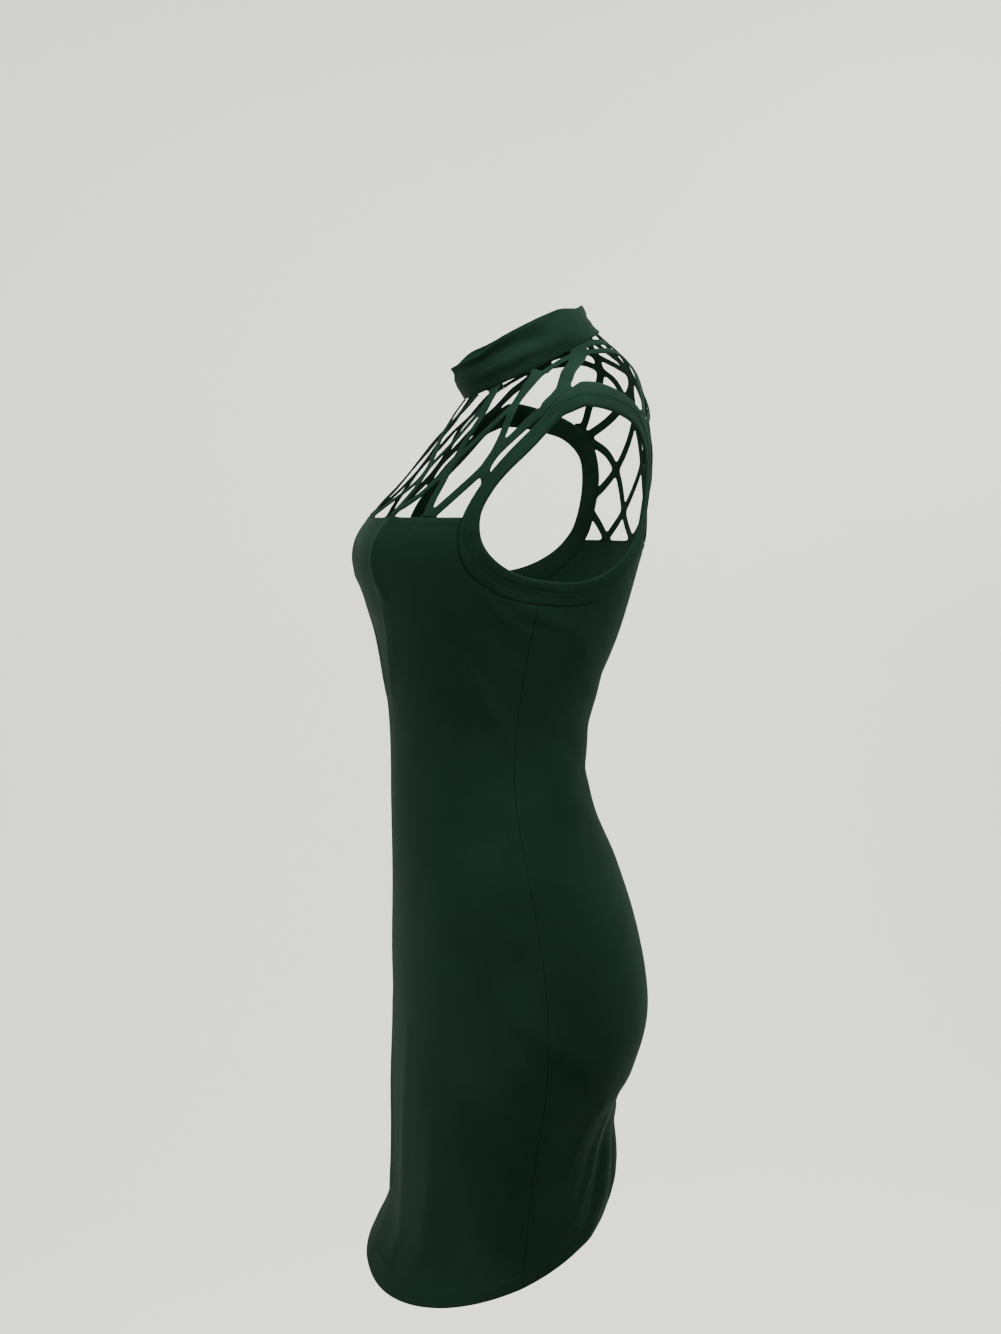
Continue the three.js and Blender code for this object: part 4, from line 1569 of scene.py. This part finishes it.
class YokeCut:
    """Turns depths on a grid into cloth with two faces and a rim, cell by cell."""

    ROUNDING = 1.3  # how far in from its edge a strap is rounded
    OUTER_ROLL = 0.5  # how far its outer face drops there
    INNER_ROLL = 0.35  # and how far its inner face rises
    CROWN_REACH = 3.5  # how far in from its edge a strap still rises
    SNAP = 0.1  # how near to a grid point a cut may pass, as a share of a cell

    def __init__(
        self,
        mesh: ClothMesh,
        angles: list[float],
        levels: list[float],
        depths: list[list[tuple[float, float]]],
        crown: float,
    ) -> None:
        """Keep the grid.

        Args:
            mesh: The mesh that takes the cloth.
            angles: The grid's angles.
            levels: The grid's levels.
            depths: For each level and angle, the depth in the straps and the distance
                from the band.
            crown: How far the middle of a strap stands up.
        """
        self.mesh = mesh
        self.angles = angles
        self.levels = levels
        self.depths = depths
        self.crown = crown
        self.known: dict[tuple[float, float], tuple[int, int]] = {}

    def inside(self, column: int, row: int) -> float:
        """How far inside the cut a grid point lies."""
        return min(self.depths[row][column])

    def vertex(self, column: float, row: float, value: float) -> tuple[int, int]:
        """The outer and the inner vertex at a place on the grid, made once.

        Args:
            column: The column, between whole ones where an edge is cut.
            row: The row, likewise.
            value: How far inside the cut it lies.

        Returns:
            The two vertex numbers.
        """
        key = (round(column, 4), round(row, 4))
        if key not in self.known:
            angle = value_between(self.angles, column)
            level = value_between(self.levels, row)
            place, normal = cloth_frame(angle, level)
            near_edge = (1 - clamp(value / self.ROUNDING, 0, 1)) ** 2
            crowned = self.crown * (1 - (1 - clamp(value / self.CROWN_REACH, 0, 1)) ** 2)
            knit = (place.x, place.z)
            self.known[key] = (
                self.mesh.add(place + normal * (crowned - self.OUTER_ROLL * near_edge), knit),
                self.mesh.add(place + normal * (self.INNER_ROLL * near_edge - CLOTH), knit),
            )
        return self.known[key]

    def run(self) -> None:
        """Cut every cell of the grid, and close the wall along the cut."""
        last_column, last_row = len(self.angles) - 1, len(self.levels) - 1
        for row in range(last_row):
            for column in range(last_column):
                corners = [(column, row), (column + 1, row), (column + 1, row + 1), (column, row + 1)]
                values = [self.inside(*corner) for corner in corners]
                if max(values) <= 0:
                    continue
                self.cut_cell(corners, values, last_column, last_row)

    def cut_cell(
        self, corners: list[tuple[int, int]], values: list[float], last_column: int, last_row: int
    ) -> None:
        """Add one cell's part of the cloth.

        Args:
            corners: The cell's corners as columns and rows, turning left.
            values: How far inside each corner lies.
            last_column: The grid's last column.
            last_row: The grid's last row.
        """
        outline = []
        for k in range(4):
            here, following = corners[k], corners[(k + 1) % 4]
            value, after = values[k], values[(k + 1) % 4]
            if value > 0:
                outline.append((self.vertex(*here, value), here))
            if (value > 0) != (after > 0):
                share = clamp(value / (value - after), self.SNAP, 1 - self.SNAP)
                spot = blend(here, following, share)
                outline.append((self.vertex(*spot, 0.0), spot))
        self.mesh.faces.append(tuple(pair[0] for pair, _ in outline))
        self.mesh.faces.append(tuple(pair[1] for pair, _ in reversed(outline)))
        count = len(outline)
        for k in range(count):
            (pair, spot), (next_pair, next_spot) = outline[k], outline[(k + 1) % count]
            cut = not is_whole(spot) and not is_whole(next_spot)
            on_border = (
                spot[0] == next_spot[0] and spot[0] in (0, last_column)
                or spot[1] == next_spot[1] and spot[1] in (0, last_row)
            )
            if cut or on_border:
                self.mesh.faces.append((pair[1], next_pair[1], next_pair[0], pair[0]))


@dataclass(frozen=True)
class SoftLight:
    """A square soft light, in metres and watts."""

    name: str
    place: tuple[float, float, float]
    size: float
    watts: float
    target: tuple[float, float, float] = (0, -0.04, -0.35)

    def build(self) -> None:
        """Hang the light and turn it to its target."""
        lamp = bpy.data.lights.new(self.name, "AREA")
        lamp.size = self.size
        lamp.energy = self.watts
        hung = bpy.data.objects.new(self.name, lamp)
        hung.location = self.place
        aim = Vector(self.target) - Vector(self.place)
        hung.rotation_euler = aim.to_track_quat("-Z", "Y").to_euler()
        bpy.context.scene.collection.objects.link(hung)


LIGHTS = (
    SoftLight("key", (0.6, -2.8, 1.5), 1.8, 185),
    SoftLight("top", (0.4, 0.15, 2.3), 1.2, 130),
    SoftLight("near", (0.8, 0.5, 0.5), 0.5, 26, (0, 0, 0.03)),
    SoftLight("back", (-1.2, 1.9, 1.2), 1.4, 30),
    SoftLight("wall", (-1.4, 2.4, 0.9), 1.6, 60, (-3.2, 1.2, 0)),
)


@dataclass
class Studio:
    """The pale backdrop, the room's light and the camera at the photograph's angle, in metres."""

    floor_level: float = -1.6
    wall_x: float = -3.2
    wall_top: float = 6.0
    reach: float = 9.0  # how far the floor and the wall run out
    corner: float = 1.2  # the radius between them
    corner_steps: int = 12
    paper_colour: Colour = (0.83, 0.83, 0.79, 1)
    paper_roughness: float = 0.95
    room_colour: Colour = (0.93, 0.95, 1.0, 1)
    room_strength: float = 0.28
    camera_place: tuple[float, float, float] = (1.473, -0.363, -0.106)
    camera_tilt: float = 84.87  # degrees up from straight down
    camera_turn: float = 78.0  # degrees round from a view along +Y
    lens_mm: float = 45.07
    sensor_mm: float = 36.0

    def backdrop(self) -> bpy.types.Object:
        """Make the floor and the wall as one sweep with a rounded corner.

        Returns:
            The sweep.
        """
        profile = [(self.reach, self.floor_level), (self.wall_x + self.corner, self.floor_level)]
        for i in range(1, self.corner_steps + 1):
            turn = math.pi / 2 * i / self.corner_steps
            profile.append((
                self.wall_x + self.corner * (1 - math.sin(turn)),
                self.floor_level + self.corner * (1 - math.cos(turn)),
            ))
        profile.append((self.wall_x, self.wall_top))
        places = [(x, y, z) for x, z in profile for y in (-self.reach, self.reach)]
        faces = [(2 * i, 2 * i + 1, 2 * i + 3, 2 * i + 2) for i in range(len(profile) - 1)]
        mesh = bpy.data.meshes.new("backdrop")
        mesh.from_pydata(places, [], faces)
        mesh.polygons.foreach_set("use_smooth", [True] * len(faces))
        mesh.materials.append(self.paper())
        sweep = bpy.data.objects.new("backdrop", mesh)
        bpy.context.scene.collection.objects.link(sweep)
        return sweep

    def paper(self) -> bpy.types.Material:
        """The backdrop's matt paper.

        Returns:
            The material.
        """
        made = bpy.data.materials.new("backdrop paper")
        made.use_nodes = True
        shader = made.node_tree.nodes["Principled BSDF"]
        shader.inputs["Base Color"].default_value = self.paper_colour
        shader.inputs["Roughness"].default_value = self.paper_roughness
        return made

    def world(self) -> None:
        """Fill the room with pale light."""
        world = bpy.data.worlds.new("room")
        world.use_nodes = True
        background = world.node_tree.nodes["Background"]
        background.inputs["Color"].default_value = self.room_colour
        background.inputs["Strength"].default_value = self.room_strength
        bpy.context.scene.world = world

    def camera(self) -> None:
        """Place the camera where the photograph was taken from."""
        lens = bpy.data.cameras.new("photograph")
        lens.lens = self.lens_mm
        lens.sensor_width = self.sensor_mm
        camera = bpy.data.objects.new("photograph", lens)
        camera.location = self.camera_place
        camera.rotation_euler = (math.radians(self.camera_tilt), 0, math.radians(self.camera_turn))
        bpy.context.scene.collection.objects.link(camera)
        bpy.context.scene.camera = camera

    def build(self) -> None:
        """Make the whole studio."""
        self.backdrop()
        for light in LIGHTS:
            light.build()
        self.world()
        self.camera()


def main() -> None:
    """Build the pieces in order and report each."""
    logging.basicConfig(level=logging.INFO, format="%(name)s: %(message)s")
    bpy.ops.object.select_all(action="DESELECT")
    pieces = [
        BodyPanel(Half.FRONT, BUST_EDGE, "front_body", "front_panel", (0.46, 0.69), 0.245),
        BodyPanel(Half.BACK, BACK_EDGE, "back_body", "back_panel", (0.46, 0.63), 0.225),
        ArmholeBand(Side.LEFT, "left_armhole_binding", "armhole_band_left", (0.50, 0.025)),
        ArmholeBand(Side.RIGHT, "right_armhole_binding", "armhole_band_right", (0.50, 0.025)),
        Collar("funnel_collar", "collar", (0.39, 0.034)),
        StrapYoke(
            Half.FRONT, BUST_EDGE, FRONT_STRAPS, "front_strap_yoke", "front_lattice", (0.30, 0.15), 0.0166
        ),
        StrapYoke(
            Half.BACK, BACK_EDGE, BACK_STRAPS, "back_strap_yoke", "back_lattice", (0.30, 0.19), 0.0199
        ),
    ]
    for piece in pieces:
        made = piece.build()
        LOG.info("%s: %d faces", made.name, len(made.data.polygons))
    Studio().build()
    LOG.info("the frame has %d nodes", len(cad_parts))


if __name__ == "__main__":
    main()
